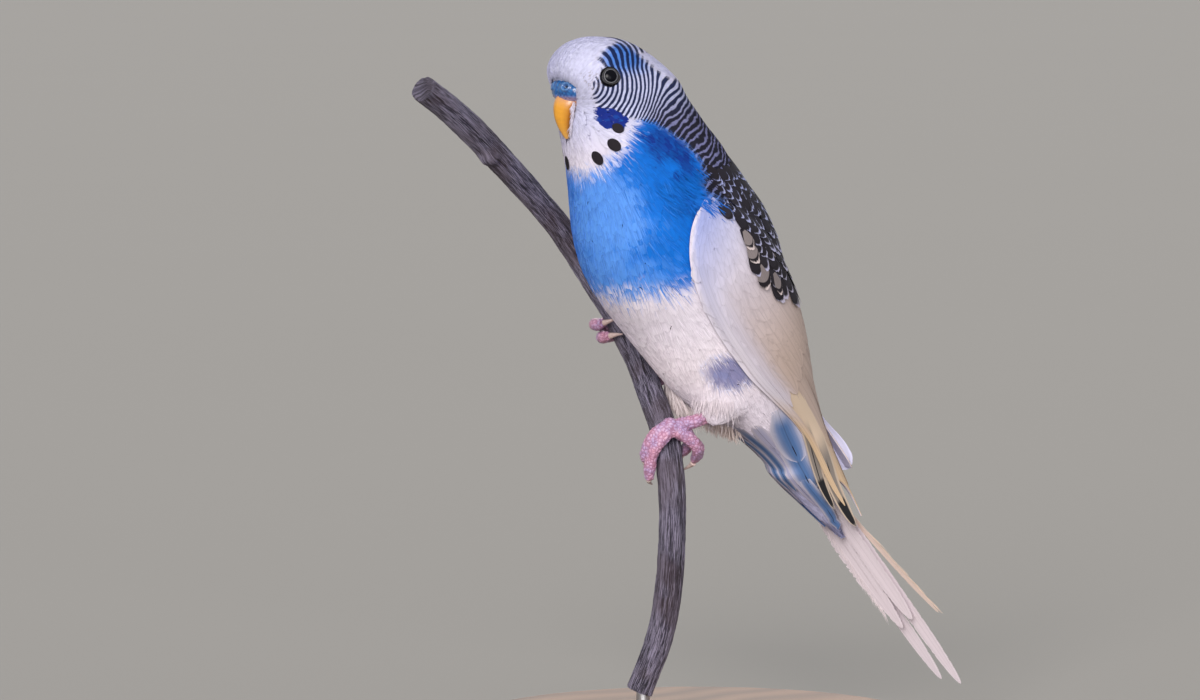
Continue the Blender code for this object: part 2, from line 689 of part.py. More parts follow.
stem_foot = Vector(STEM_ROWS[-1][:3]) + Vector(BIRD_AT)
rod_low = BASE_THICK - ROD_DEEP
rod_high = stem_foot.z + ROD_DEEP
rod_place = (stem_foot.x + ROD_SHIFT[0], stem_foot.y + ROD_SHIFT[1])
rod_mesh = upright("stand_rod", *rod_place, rod_low, rod_high, ROD_RADIUS)
rod = node("stand_rod", rod_mesh, ROD_METAL, parent=None)
room = upright("rod_room", *rod_place, rod_low - GAP, rod_high + GAP, ROD_RADIUS + GAP)
rod_room = cutter("rod_room", room, parent=None)
combine(base, rod_room)
combine(stem, rod_room)
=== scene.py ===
# %% [markdown]
# # A budgerigar on a cut twig
#
# The lesson dresses the plain solids of a small parrot: one skin, a coat of separate feathers,
# folded wings, a tail, scaly feet, a wet eye and the bark of its perch. Lengths are in
# millimetres, and become metres where a mesh is made. The bird faces -X and its left is -Y.

# %% The solids, and what the lesson uses
import math

import bmesh
import bpy
import numpy as np
from mathutils import Matrix, Vector
from mathutils.bvhtree import BVHTree
from mathutils.kdtree import KDTree


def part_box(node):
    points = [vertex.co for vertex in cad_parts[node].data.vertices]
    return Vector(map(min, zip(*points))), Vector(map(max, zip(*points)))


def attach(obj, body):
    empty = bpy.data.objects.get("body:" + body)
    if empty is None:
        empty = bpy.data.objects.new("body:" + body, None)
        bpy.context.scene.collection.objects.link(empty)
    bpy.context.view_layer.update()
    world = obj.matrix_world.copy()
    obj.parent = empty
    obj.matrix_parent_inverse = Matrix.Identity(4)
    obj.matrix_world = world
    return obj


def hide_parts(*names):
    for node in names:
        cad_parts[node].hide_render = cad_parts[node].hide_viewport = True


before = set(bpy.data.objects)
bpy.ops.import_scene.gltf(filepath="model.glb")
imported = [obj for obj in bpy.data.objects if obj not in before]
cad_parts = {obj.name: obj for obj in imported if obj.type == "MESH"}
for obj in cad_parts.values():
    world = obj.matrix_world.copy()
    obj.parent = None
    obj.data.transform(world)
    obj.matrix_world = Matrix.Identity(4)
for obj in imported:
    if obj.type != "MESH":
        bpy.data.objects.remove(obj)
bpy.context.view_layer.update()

MM = 0.001


def add(name, data):
    """A new object in the scene."""
    made = bpy.data.objects.new(name, data)
    bpy.context.scene.collection.objects.link(made)
    return made


# %% [markdown]
# ## Camera
#
# A long lens far away keeps the bird's proportions. The camera sits on a sphere round a point
# near the breast, given by a turn about the upright axis and a rise above the horizon.

# %% Camera
AIM = (-21.14, 10.32, 97.0)
CAMERA_TURN = math.radians(-40.0)
CAMERA_RISE = math.radians(5.0)
CAMERA_AWAY = 1600.0
CAMERA_LENS = 206.4
CAMERA_CLIP = 0.05

toward_camera = Vector((
    math.sin(CAMERA_TURN) * math.cos(CAMERA_RISE),
    -math.cos(CAMERA_TURN) * math.cos(CAMERA_RISE),
    math.sin(CAMERA_RISE),
))
camera = add("camera", bpy.data.cameras.new("camera"))
camera.data.lens = CAMERA_LENS
camera.data.clip_start = CAMERA_CLIP
camera.location = (Vector(AIM) + toward_camera * CAMERA_AWAY) * MM
camera.rotation_euler = (-toward_camera).to_track_quat("-Z", "Y").to_euler()
bpy.context.scene.camera = camera
print("camera at", [round(v, 3) for v in camera.location])

# %% [markdown]
# ## Shader sums
#
# A finish is a tree of nodes. A small class wraps a socket, so that sums on it read like sums and
# each one adds its Math node. Everything else comes from one method that makes any node.


# %% Sums on sockets
class Wire:
    """A number that runs through a material."""

    def __init__(self, look, socket):
        self.look = look
        self.socket = socket

    def math(self, operation, other, flipped=False):
        pair = (other, self) if flipped else (self, other)
        return self.look.node("ShaderNodeMath", {"operation": operation}, {0: pair[0], 1: pair[1]})

    def __add__(self, other):
        return self.math("ADD", other)

    def __radd__(self, other):
        return self.math("ADD", other, True)

    def __sub__(self, other):
        return self.math("SUBTRACT", other)

    def __rsub__(self, other):
        return self.math("SUBTRACT", other, True)

    def __mul__(self, other):
        return self.math("MULTIPLY", other)

    def __rmul__(self, other):
        return self.math("MULTIPLY", other, True)

    def __pow__(self, other):
        return self.math("POWER", other)

    def size(self):
        return self.math("ABSOLUTE", 0.0)

    def sine(self):
        return self.math("SINE", 0.0)


# %% Materials
class Look:
    """A material with a Principled shader, and the nodes that feed it."""

    def __init__(self, name, **constants):
        self.material = bpy.data.materials.new(name)
        self.material.use_nodes = True
        self.tree = self.material.node_tree
        self.shader = self.tree.nodes["Principled BSDF"]
        for socket, value in constants.items():
            self.shader.inputs[socket.replace("_", " ")].default_value = value

    def node(self, kind, settings, sockets, output=0):
        """Any node: its settings first, then a value or a link for each socket."""
        made = self.tree.nodes.new(kind)
        for name, value in settings.items():
            if name == "stops":
                ramp = made.color_ramp
                while len(ramp.elements) < len(value):
                    ramp.elements.new(0.5)
                for element, (place, colour) in zip(ramp.elements, value):
                    element.position = place
                    element.color = (*colour, 1.0)
            else:
                setattr(made, name, value)
        for place, value in sockets.items():
            if isinstance(value, Wire):
                self.tree.links.new(value.socket, made.inputs[place])
            else:
                made.inputs[place].default_value = value
        return Wire(self, made.outputs[output])

    def attribute(self, name):
        """A number that the mesh keeps at each point."""
        return self.node("ShaderNodeAttribute", {"attribute_name": name}, {}, "Fac")

    def split(self, vector):
        """The three numbers of a vector."""
        return [self.node("ShaderNodeSeparateXYZ", {}, {0: vector}, axis) for axis in "XYZ"]

    def triple(self, name):
        """Three numbers that the mesh keeps at each point."""
        return self.split(self.node("ShaderNodeAttribute", {"attribute_name": name}, {}, "Vector"))

    def place(self):
        """Object coordinates in millimetres."""
        here = self.node("ShaderNodeTexCoord", {}, {}, "Object")
        return self.node("ShaderNodeVectorMath", {"operation": "SCALE"}, {0: here, 3: 1 / MM})

    def vector(self, x, y, z):
        return self.node("ShaderNodeCombineXYZ", {}, {0: x, 1: y, 2: z})

    def noise(self, place, scale, detail=2.0, rough=0.5):
        sockets = {"Vector": place, "Scale": scale, "Detail": detail, "Roughness": rough}
        return self.node("ShaderNodeTexNoise", {}, sockets)

    def ease(self, value, low, high):
        """A soft step from 0 to 1 as the value goes from low to high."""
        settings = {"interpolation_type": "SMOOTHSTEP", "clamp": True}
        return self.node("ShaderNodeMapRange", settings, {0: value, 1: low, 2: high})

    def mix(self, share, one, other):
        """From one colour to the other."""
        one, other = (c if isinstance(c, Wire) else (*c, 1.0) for c in (one, other))
        return self.node("ShaderNodeMix", {"data_type": "RGBA"}, {0: share, 6: one, 7: other}, 2)

    def scaled(self, colour, factor):
        """A colour made brighter or darker."""
        sockets = {0: colour, 3: factor}
        return self.node("ShaderNodeVectorMath", {"operation": "SCALE"}, sockets)

    def bump(self, height, distance, strength=1.0):
        sockets = {"Height": height, "Distance": distance * MM, "Strength": strength}
        return self.node("ShaderNodeBump", {}, sockets)

    def feed(self, **wires):
        for socket, value in wires.items():
            self.tree.links.new(value.socket, self.shader.inputs[socket.replace("_", " ")])
        return self.material


# %% [markdown]
# ## Floor and light
#
# A wide pale floor runs past the picture on every side, so no wall is needed. The main light comes
# from high on the bird's front left, a weaker one fills the far side, and a third from behind draws
# the edge of the white feathers. Each is a sun with a wide disc: its shadows are as soft as a large
# studio box gives, and the floor stays evenly lit. The colours are shown as they are, not filmic.

# %% Floor and light
FLOOR_RADIUS = 14000.0
FLOOR_SHADES = ((0.292, 0.273, 0.248), (0.296, 0.277, 0.252))
LIGHTS = {  # comes from, strength, disc in degrees, colour
    "key": ((-0.84, -0.66, 0.48), 2.5, 26.0, (1.0, 0.97, 0.94)),
    "fill": ((-0.62, -0.80, 0.06), 1.7, 50.0, (0.95, 0.96, 1.0)),
    "rim": ((0.60, 0.65, 0.55), 1.0, 24.0, (1.0, 0.97, 0.92)),
}
WORLD_COLOUR = (0.84, 0.88, 0.95)
WORLD_STRENGTH = 0.60

bpy.ops.mesh.primitive_circle_add(vertices=64, radius=FLOOR_RADIUS * MM, fill_type="NGON")
floor = bpy.context.active_object
floor.name = "floor"
floor_look = Look("floor", Roughness=0.95)
cloud = floor_look.noise(floor_look.place(), 0.004)
floor.data.materials.append(floor_look.feed(Base_Color=floor_look.mix(cloud, *FLOOR_SHADES)))

for name, (way, strength, disc, colour) in LIGHTS.items():
    lamp = bpy.data.lights.new(name, "SUN")
    lamp.angle = math.radians(disc)
    lamp.energy = strength
    lamp.color = colour
    holder = add(name, lamp)
    holder.location = Vector(way)
    holder.rotation_euler = Vector(way).to_track_quat("Z", "Y").to_euler()

world = bpy.data.worlds.new("studio")
world.use_nodes = True
world.node_tree.nodes["Background"].inputs["Color"].default_value = (*WORLD_COLOUR, 1.0)
world.node_tree.nodes["Background"].inputs["Strength"].default_value = WORLD_STRENGTH
bpy.context.scene.world = world
bpy.context.scene.view_settings.view_transform = "Standard"

# %% [markdown]
# ## The body's form
#
# The bird's body is a loft of sections, from the crown down to the root of the tail. Each row says
# where a section's breast side and back side are, how wide it is, how square, and how much it is
# turned with the head. One formula then gives any point of the body, at a place along the rows and
# at an angle round it: 0 is the breast, 90 the left side and 180 the back.

# %% The body's rows
BIRD_AT = np.array((-34.0, -5.0, 97.0))
NECK_LINE = np.array((3.6, 0.2))
HEAD_TURN = math.radians(-12.0)
CROWN_RISE = 0.05
BODY_ROWS = (
    (-3.2, 73.7, 4.2, 73.4, 3.4, 2.0, 1.0),
    (-7.5, 72.2, 8.2, 71.9, 7.3, 2.1, 1.0),
    (-10.2, 69.4, 11.8, 69.6, 10.0, 2.3, 1.0),
    (-11.1, 66.0, 15.2, 66.7, 11.7, 2.6, 1.0),
    (-9.2, 62.2, 17.9, 63.4, 12.7, 3.2, 1.0),
    (-7.9, 58.0, 20.3, 60.0, 12.9, 2.7, 0.95),
    (-8.2, 53.6, 23.3, 56.8, 13.4, 2.4, 0.85),
    (-7.5, 48.6, 26.8, 53.0, 14.3, 2.2, 0.65),
    (-6.2, 43.2, 31.0, 49.0, 15.6, 2.1, 0.4),
    (-5.3, 37.6, 35.0, 44.4, 17.0, 2.0, 0.2),
    (-4.3, 31.6, 39.4, 39.4, 18.3, 2.0, 0.05),
    (-3.0, 25.4, 43.6, 34.2, 19.1, 2.0, 0.0),
    (-0.4, 18.6, 47.0, 28.4, 19.4, 2.0, 0.0),
    (4.6, 11.4, 49.6, 21.8, 19.1, 2.0, 0.0),
    (11.6, 4.0, 52.0, 14.0, 18.0, 2.0, 0.0),
    (18.8, -3.4, 54.8, 5.6, 16.3, 2.0, 0.0),
    (25.4, -10.2, 57.2, -2.4, 14.2, 2.0, 0.0),
    (33.4, -15.8, 59.4, -9.6, 12.0, 2.0, 0.0),
    (42.4, -20.2, 62.2, -16.6, 9.9, 2.1, 0.0),
    (50.6, -25.4, 65.6, -23.4, 8.4, 2.2, 0.0),
    (57.6, -32.2, 69.6, -30.2, 7.4, 2.3, 0.0),
    (64.6, -40.0, 73.8, -37.6, 7.0, 2.4, 0.0),
    (70.6, -47.4, 77.6, -45.4, 6.8, 2.5, 0.0),
)
BODY_END = 20.0


# %% Points of the body
def rows_at(rows, place):
    """The rows of a table at places along it, on a smooth curve through them."""
    rows = np.asarray(rows, float)
    place = np.clip(place, 0.0, len(rows) - 1.0)
    i = np.minimum(place.astype(int), len(rows) - 2)
    f = (place - i)[..., None]
    a, b, c, d = (rows[np.clip(i + k, 0, len(rows) - 1)] for k in (-1, 0, 1, 2))
    return b + 0.5 * f * (c - a + f * (2 * a - 5 * b + 4 * c - d + f * (3 * (b - c) + d - a)))


def spread(value, squareness):
    return np.sign(value) * np.abs(value) ** (2.0 / squareness)


def on_body(place, angle, out=0.0):
    """Points of the body's surface. Places from -1 to 0 close the crown."""
    place, angle, out = np.broadcast_arrays(*(np.asarray(v, float) for v in (place, angle, out)))
    front_x, front_z, back_x, back_z, width, square, turn = np.moveaxis(rows_at(BODY_ROWS, place), -1, 0)
    cap = np.clip(1.0 + place, 0.0, 1.0)
    half_x, half_z = (back_x - front_x) / 2, (back_z - front_z) / 2
    longer = cap * (1 + out / np.hypot(half_x, half_z))
    along = spread(-np.cos(np.radians(angle)), square)
    x = (front_x + back_x) / 2 + half_x * along * longer
    z = (front_z + back_z) / 2 + half_z * along * longer
    z = z + np.where(place < 0, CROWN_RISE * (1 - cap**2) + out * (1 - cap), 0.0)
    y = spread(-np.sin(np.radians(angle)), square) * (width + out) * cap
    turned = HEAD_TURN * turn
    across, aside = x - NECK_LINE[0], y - NECK_LINE[1]
    x = NECK_LINE[0] + across * np.cos(turned) - aside * np.sin(turned)
    y = NECK_LINE[1] + across * np.sin(turned) + aside * np.cos(turned)
    return np.stack((x, y, z), axis=-1) + BIRD_AT


def in_head(points):
    """Forward, left and up, in the head's own frame."""
    x, y, z = np.moveaxis(points - BIRD_AT - (*NECK_LINE, 0.0), -1, 0)
    c, s = math.cos(HEAD_TURN), math.sin(HEAD_TURN)
    return np.stack((-(c * x + s * y), s * x - c * y, z), axis=-1)


def from_head(forward, left, up):
    """Points at forward, left and up of the head's own frame."""
    c, s = math.cos(HEAD_TURN), math.sin(HEAD_TURN)
    x = -c * forward + s * left
    y = -s * forward - c * left
    return np.stack((x + NECK_LINE[0], y + NECK_LINE[1], up), axis=-1) + BIRD_AT


forward = from_head(1.0, 0.0, 0.0) - from_head(0.0, 0.0, 0.0)
print("eye row, left side:", on_body(3.45, 69.0).round(1), "the head looks", forward.round(2))

# %% [markdown]
# ## Making meshes from arrays
#
# Thousands of feathers share one pattern of faces, so a mesh is filled in one go from arrays of
# points and faces. Numbers that the finishes need go with the points.


# %% Sums on arrays
def ease(value, low, high):
    """A soft step from 0 to 1."""
    share = np.clip((np.asarray(value, float) - low) / (high - low), 0.0, 1.0)
    return share * share * (3 - 2 * share)


def blend(share, one, other):
    return one * (1 - share) + other * share


def unit(vectors):
    return vectors / (np.linalg.norm(vectors, axis=-1, keepdims=True) + 1e-12)


# %% Meshes from arrays
def mesh_of(name, points, faces):
    """A mesh from points in millimetres and a list of arrays of faces."""
    mesh = bpy.data.meshes.new(name)
    mesh.vertices.add(len(points))
    mesh.vertices.foreach_set("co", (np.asarray(points) * MM).astype(np.float32).ravel())
    corners = np.concatenate([f.ravel() for f in faces]).astype(np.int32)
    sizes = np.concatenate([np.full(len(f), f.shape[1], np.int32) for f in faces])
    mesh.loops.add(len(corners))
    mesh.loops.foreach_set("vertex_index", corners)
    mesh.polygons.add(len(sizes))
    mesh.polygons.foreach_set("loop_start", np.concatenate(([0], np.cumsum(sizes)[:-1])).astype(np.int32))
    mesh.update(calc_edges=True)
    mesh.polygons.foreach_set("use_smooth", np.ones(len(sizes), bool))
    mesh.validate()
    return mesh


def track_of(name, points, joined=True):
    """Bare points, joined in a line if asked for, for Geometry Nodes to work on."""
    mesh = bpy.data.meshes.new(name)
    edges = [(i, i + 1) for i in range(len(points) - 1)] if joined else []
    mesh.from_pydata((np.asarray(points) * MM).tolist(), edges, [])
    return mesh


def keep(mesh, name, values):
    """Stores a number or a triple of numbers at each point."""
    values = np.asarray(values, np.float32)
    if values.ndim == 1:
        mesh.attributes.new(name, "FLOAT", "POINT").data.foreach_set("value", values)
    else:
        mesh.attributes.new(name, "FLOAT_VECTOR", "POINT").data.foreach_set("vector", values.ravel())


# %% Points and shading normals
def corner_points(mesh):
    """The number of the point at each corner of each face."""
    corners = np.empty(len(mesh.loops), np.int32)
    mesh.loops.foreach_get("vertex_index", corners)
    return corners


def soften(mesh, normals, share):
    """Turns the shading normals towards those of the surface that the feathers lie on. The faces
    underneath keep their own."""
    corners = corner_points(mesh)
    sizes = np.empty(len(mesh.polygons), np.int32)
    mesh.polygons.foreach_get("loop_total", sizes)
    facing = np.empty(len(mesh.polygons) * 3, np.float32)
    mesh.polygon_normals.foreach_get("vector", facing)
    facing = np.repeat(facing.reshape(-1, 3).astype(float), sizes, axis=0)
    top = np.sum(facing * normals[corners], axis=1) > 0.05
    own = np.zeros(normals.shape)
    np.add.at(own, corners[top], facing[top])
    mixed = blend(share, unit(own)[corners], normals[corners])
    mixed = np.where(top[:, None], mixed, facing)
    mesh.normals_split_custom_set(unit(mixed).tolist())


def points_of(mesh):
    found = np.empty(len(mesh.vertices) * 3, np.float32)
    mesh.vertices.foreach_get("co", found)
    return found.reshape(-1, 3).astype(float) / MM


def move_points(mesh, points):
    mesh.vertices.foreach_set("co", (points * MM).astype(np.float32).ravel())
    mesh.update()


def normals_of(mesh):
    found = np.empty(len(mesh.vertices) * 3, np.float32)
    mesh.vertex_normals.foreach_get("vector", found)
    return found.reshape(-1, 3).astype(float)


# %% Pieces
def piece(name, mesh, material, slot, *stands_for):
    """The finished piece: it rides on the model, and may stand for some of its solids."""
    made = add(name, mesh)
    mesh.materials.clear()
    mesh.materials.append(material)
    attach(made, "root")
    if stands_for:
        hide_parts(*stands_for)
    count = sum(len(p.vertices) - 2 for p in mesh.polygons)
    print(f"{name}: {count} triangles")


# %% Meshes reworked
MERGE = 1e-7  # points nearer than this, in metres, are one


def mended(mesh, merge=0.0, fill=False):
    """Merges doubles and fills holes where asked for, and turns the faces outwards."""
    work = bmesh.new()
    work.from_mesh(mesh)
    if merge:
        bmesh.ops.remove_doubles(work, verts=work.verts, dist=merge)
    if fill:
        bmesh.ops.holes_fill(work, edges=work.edges)
    bmesh.ops.recalc_face_normals(work, faces=work.faces)
    work.to_mesh(mesh)
    work.free()
    mesh.polygons.foreach_set("use_smooth", np.ones(len(mesh.polygons), bool))
    return mesh


def finished(name, holder):
    """The plain mesh that an object's modifiers give. The object goes."""
    graph = bpy.context.evaluated_depsgraph_get()
    made = bpy.data.meshes.new_from_object(holder.evaluated_get(graph))
    made.name = name
    bpy.data.objects.remove(holder)
    return made


def remeshed(name, parts, voxel, rounds):
    """One closed smooth mesh round several closed meshes."""
    work = bmesh.new()
    for part in parts:
        work.from_mesh(part)
    joined = bpy.data.meshes.new(name)
    work.to_mesh(joined)
    work.free()
    holder = add(name, joined)
    step = holder.modifiers.new("skin", "REMESH")
    step.mode = "VOXEL"
    step.voxel_size = voxel * MM
    step.use_smooth_shade = True
    step = holder.modifiers.new("smooth", "SMOOTH")
    step.factor = 0.5
    step.iterations = rounds
    return finished(name, holder)


def solid_copy(node, grow=0.0):
    """A merged copy of a solid, which may be swollen a little along its normals."""
    work = bmesh.new()
    work.from_mesh(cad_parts[node].data)
    bmesh.ops.remove_doubles(work, verts=work.verts, dist=1e-6)
    work.normal_update()
    for vert in work.verts:
        vert.co += vert.normal * grow * MM
    made = bpy.data.meshes.new(node + "_copy")
    work.to_mesh(made)
    work.free()
    return made


def middle_of(node):
    """The middle of a solid's box."""
    low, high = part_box(node)
    return np.array(low + high) / 2 / MM


# %% [markdown]
# ## Skin
#
# Under the feathers there is one skin. The loft of the rows is joined with the thighs and the
# undertail by a voxel remesh, which leaves no seam. This first surface is the outside of the coat:
# feathers are laid on it. The skin itself is the same mesh drawn in by the depth of the coat.


# %% A surface to lay feathers on
class Hide:
    """A closed surface in millimetres that finds the nearest place and its normal."""

    def __init__(self, mesh):
        mesh.calc_loop_triangles()
        corners = np.empty(len(mesh.loop_triangles) * 3, np.int32)
        mesh.loop_triangles.foreach_get("vertices", corners)
        self.points = points_of(mesh)
        self.normals = normals_of(mesh)
        self.triangles = corners.reshape(-1, 3)
        self.tree = BVHTree.FromPolygons(self.points.tolist(), self.triangles.tolist())
        self.shading = self.normals  # may be turned, where soft down scatters the light
        self.lit = None  # the shading normals at the points last dropped

    def drop(self, points):
        """The nearest places on the surface, with normals that change smoothly."""
        places = np.empty_like(points)
        faces = np.empty(len(points), int)
        find = self.tree.find_nearest
        for i, point in enumerate(points.tolist()):
            place, _, face, _ = find(point)
            places[i] = place
            faces[i] = face
        corner = self.triangles[faces]
        a, b, c = (self.points[corner[:, k]] for k in range(3))
        shares = np.stack([
            np.linalg.norm(np.cross(q - places, r - places), axis=1) for q, r in ((b, c), (c, a), (a, b))
        ], axis=1) + 1e-9
        shares /= shares.sum(axis=1, keepdims=True)
        normals = sum(self.normals[corner[:, k]] * shares[:, k : k + 1] for k in range(3))
        self.lit = unit(sum(self.shading[corner[:, k]] * shares[:, k : k + 1] for k in range(3)))
        return places, normals / np.linalg.norm(normals, axis=1, keepdims=True)

    def hug(self, points, rise):
        """The points, moved to stand at a height over the surface, and its normals there."""
        places, normals = self.drop(points)
        gap = np.sum((points - places) * normals, axis=1)
        return points + normals * (rise - gap)[:, None], normals

    def inside(self, points):
        """Whether each point lies inside, and how far it is from the surface."""
        within, away = np.empty(len(points), bool), np.empty(len(points))
        for i, point in enumerate(points):
            place, normal, _, gap = self.tree.find_nearest(point.tolist())
            within[i] = (Vector(point) - place).dot(normal) < 0
            away[i] = gap
        return within, away


# %% Grids and creases
def grid_mesh(name, grid, wrap):
    """A mesh over a grid of points, closed across its columns if wrap is true."""
    rows, columns = grid.shape[:2]
    last = columns if wrap else columns - 1
    i, j = np.meshgrid(np.arange(rows - 1), np.arange(last), indexing="ij")
    k = (j + 1) % columns
    faces = np.stack((i * columns + j, (i + 1) * columns + j, (i + 1) * columns + k, i * columns + k), -1)
    return mesh_of(name, grid.reshape(-1, 3), [faces.reshape(-1, 4)])


def relax(mesh, middle, reach, rounds):
    """Smooths a mesh round a place."""
    points = points_of(mesh)
    edges = np.empty(len(mesh.edges) * 2, np.int32)
    mesh.edges.foreach_get("vertices", edges)
    a, b = edges.reshape(-1, 2).T
    share = 1 - ease(np.linalg.norm(points - middle, axis=1), 0.45 * reach, reach)
    count = np.bincount(a, minlength=len(points)) + np.bincount(b, minlength=len(points))
    for _ in range(rounds):
        total = np.stack([
            np.bincount(a, points[b, k], len(points)) + np.bincount(b, points[a, k], len(points))
            for k in range(3)
        ], axis=1)
        points += (total / count[:, None] - points) * (0.5 * share)[:, None]
    move_points(mesh, points)


# %% Outside of the coat
COAT_DEPTH = 0.6
FORM_VOXEL = 0.7
FORM_ROUNDS = 14
CLOSE_GAP = 0.35  # swells the solids until neighbours meet
RELAX_RISE = 2.5  # the crease that is smoothed lies this far above a thigh's middle
RELAX_REACH = 13.0
RELAX_ROUNDS = 60

places = np.linspace(-0.999, BODY_END, 140)
angles = np.arange(0, 360, 4.0)
loft = grid_mesh("loft", on_body(places[:, None], angles[None, :]), True)
form_parts = [mended(loft, fill=True)]
form_parts += [solid_copy(node, CLOSE_GAP) for node in ("thigh_left", "thigh_right", "undertail")]
form_mesh = remeshed("form", form_parts, FORM_VOXEL, FORM_ROUNDS)
for side in ("left", "right"):
    relax(form_mesh, middle_of(f"thigh_{side}") + (0.0, 0.0, RELAX_RISE), RELAX_REACH, RELAX_ROUNDS)
form = Hide(form_mesh)
form_middle = form.points.mean(axis=0)
print("form:", len(form.points), "points, size", np.ptp(form.points, axis=0).round(1))

# %% [markdown]
# ## Where a point lies on the body
#
# Markings follow the bird, not the room, so each point is given its place along the body's rows and
# its angle round them. A search tree over a grid of known points answers that.

# %% Places on the body
CALM_FROM = (13.2, 15.2)  # places between which the down begins to scatter the light
CALM_SHARE = 0.8


def tree_of(points):
    """A search tree over points."""
    tree = KDTree(len(points))
    for index, point in enumerate(points.tolist()):
        tree.insert(point, index)
    tree.balance()
    return tree


known_places = np.arange(-1.0, BODY_END + 1.0, 0.1)
known_angles = np.arange(-180.0, 180.0, 3.0)
known = on_body(known_places[:, None], known_angles[None, :]).reshape(-1, 3)
known_tree = tree_of(known)


def body_place(points):
    """Place along the rows and angle from -180 to 180, for points near the body."""
    found = np.array([known_tree.find(p)[1] for p in points.tolist()])
    return known_places[found // len(known_angles)], known_angles[found % len(known_angles)]


form_place, form_angle = body_place(form.points)
outward = unit(on_body(form_place, form_angle, 1.0) - on_body(form_place, form_angle, 0.0))
calm = CALM_SHARE * ease(form_place, *CALM_FROM)[:, None]
form.shading = unit(blend(calm, form.normals, outward))
print("points in the down:", int((calm > 0).sum()))


# %% [markdown]
# ## Markings
#
# A sky-blue bird with a white face and bib, a blue breast and a white belly. Fine dark bars run
# round the back of the head, and broaden on the neck. The tables below say where a marking starts,
# as pairs of a place along the rows and an angle, and the edges are softened with a little noise.

# %% Bars
BARS_FROM = (  # place, angle where the bars begin
    (-1.0, 118), (0.6, 106), (1.05, 92), (1.5, 78), (2.3, 70), (3.1, 65), (3.7, 44), (4.5, 37),
    (5.1, 37), (5.5, 52), (5.8, 76), (6.1, 86), (6.5, 92), (7.0, 97), (7.5, 100), (8.25, 102),
    (8.8, 98), (9.3, 90), (9.9, 86), (11.0, 80),
)
CHEEK_HUB = (3.75, 40.0)  # the bars of the cheek run round this place
CHEEK_PERIOD = 1.1
CROWN_PERIOD = 1.5  # the bars broaden over the eye
BROAD_RISE = (3.0, 10.0)  # heights over the hub between which they broaden
NECK_PERIOD = 1.6
NECK_WAY = np.array((0.5, 0.0, -0.87))  # across the neck's bars
HUB_NEAR, HUB_FAR = 12.5, 22.0  # between these distances the neck's bars take over

hub = in_head(on_body(*CHEEK_HUB))
joint_at = on_body(5.2, 110.0)
joint_turns = np.linalg.norm(in_head(joint_at) - hub) / CHEEK_PERIOD - joint_at @ NECK_WAY / NECK_PERIOD


def bar_count(points):
    """How many bars lie between the cheek's hub and each point."""
    head = in_head(points)
    head[..., 1] = np.abs(head[..., 1])
    away = np.linalg.norm(head - hub, axis=-1)
    rise = ease(head[..., 2] - hub[2], *BROAD_RISE)
    neck = points @ NECK_WAY / NECK_PERIOD + joint_turns
    return blend(ease(away, HUB_NEAR, HUB_FAR), away / blend(rise, CHEEK_PERIOD, CROWN_PERIOD), neck)


# %% Markings
BREAST_FROM = (  # angle, place where the blue breast begins
    (0, 8.05), (15, 7.9), (34, 7.6), (50, 7.15), (64, 6.6), (74, 6.0), (82, 5.5), (95, 5.1), (180, 5.1),
)
BREAST_TO = 12.55
NAPE_FROM = (110, 122)  # angles between which the bars end at the pale patch behind the crown
DEPTH_SPOTS_AND_HIGHLIGHT = (  # middle and reach of a patch of the breast, and how much deeper its blue is
    ((7.5, 84), (1.7, 22), 0.26), ((10.3, 76), (1.6, 16), 0.08),
    # the first spot here is a painted highlight: a pale lilac glint on the bulge of the shoulder
    ((8.15, 79), (0.45, 8), -0.3), ((9.6, 30), (1.6, 18), -0.3),
)
FLANK_SPOT = ((15.35, 56), (0.68, 28))
CROWN_SPOT = ((1.8, 86), (1.8, 38))


def table(pairs, value):
    spots = np.array(pairs, float)
    return np.interp(value, spots[:, 0], spots[:, 1])


def spot_mask(place, side, middle, reach):
    """1 in the middle of an oval patch, given in places and angles, and 0 outside it."""
    away = np.hypot((place - middle[0]) / reach[0], (side - middle[1]) / reach[1])
    return 1 - ease(away, 0.45, 1.0)


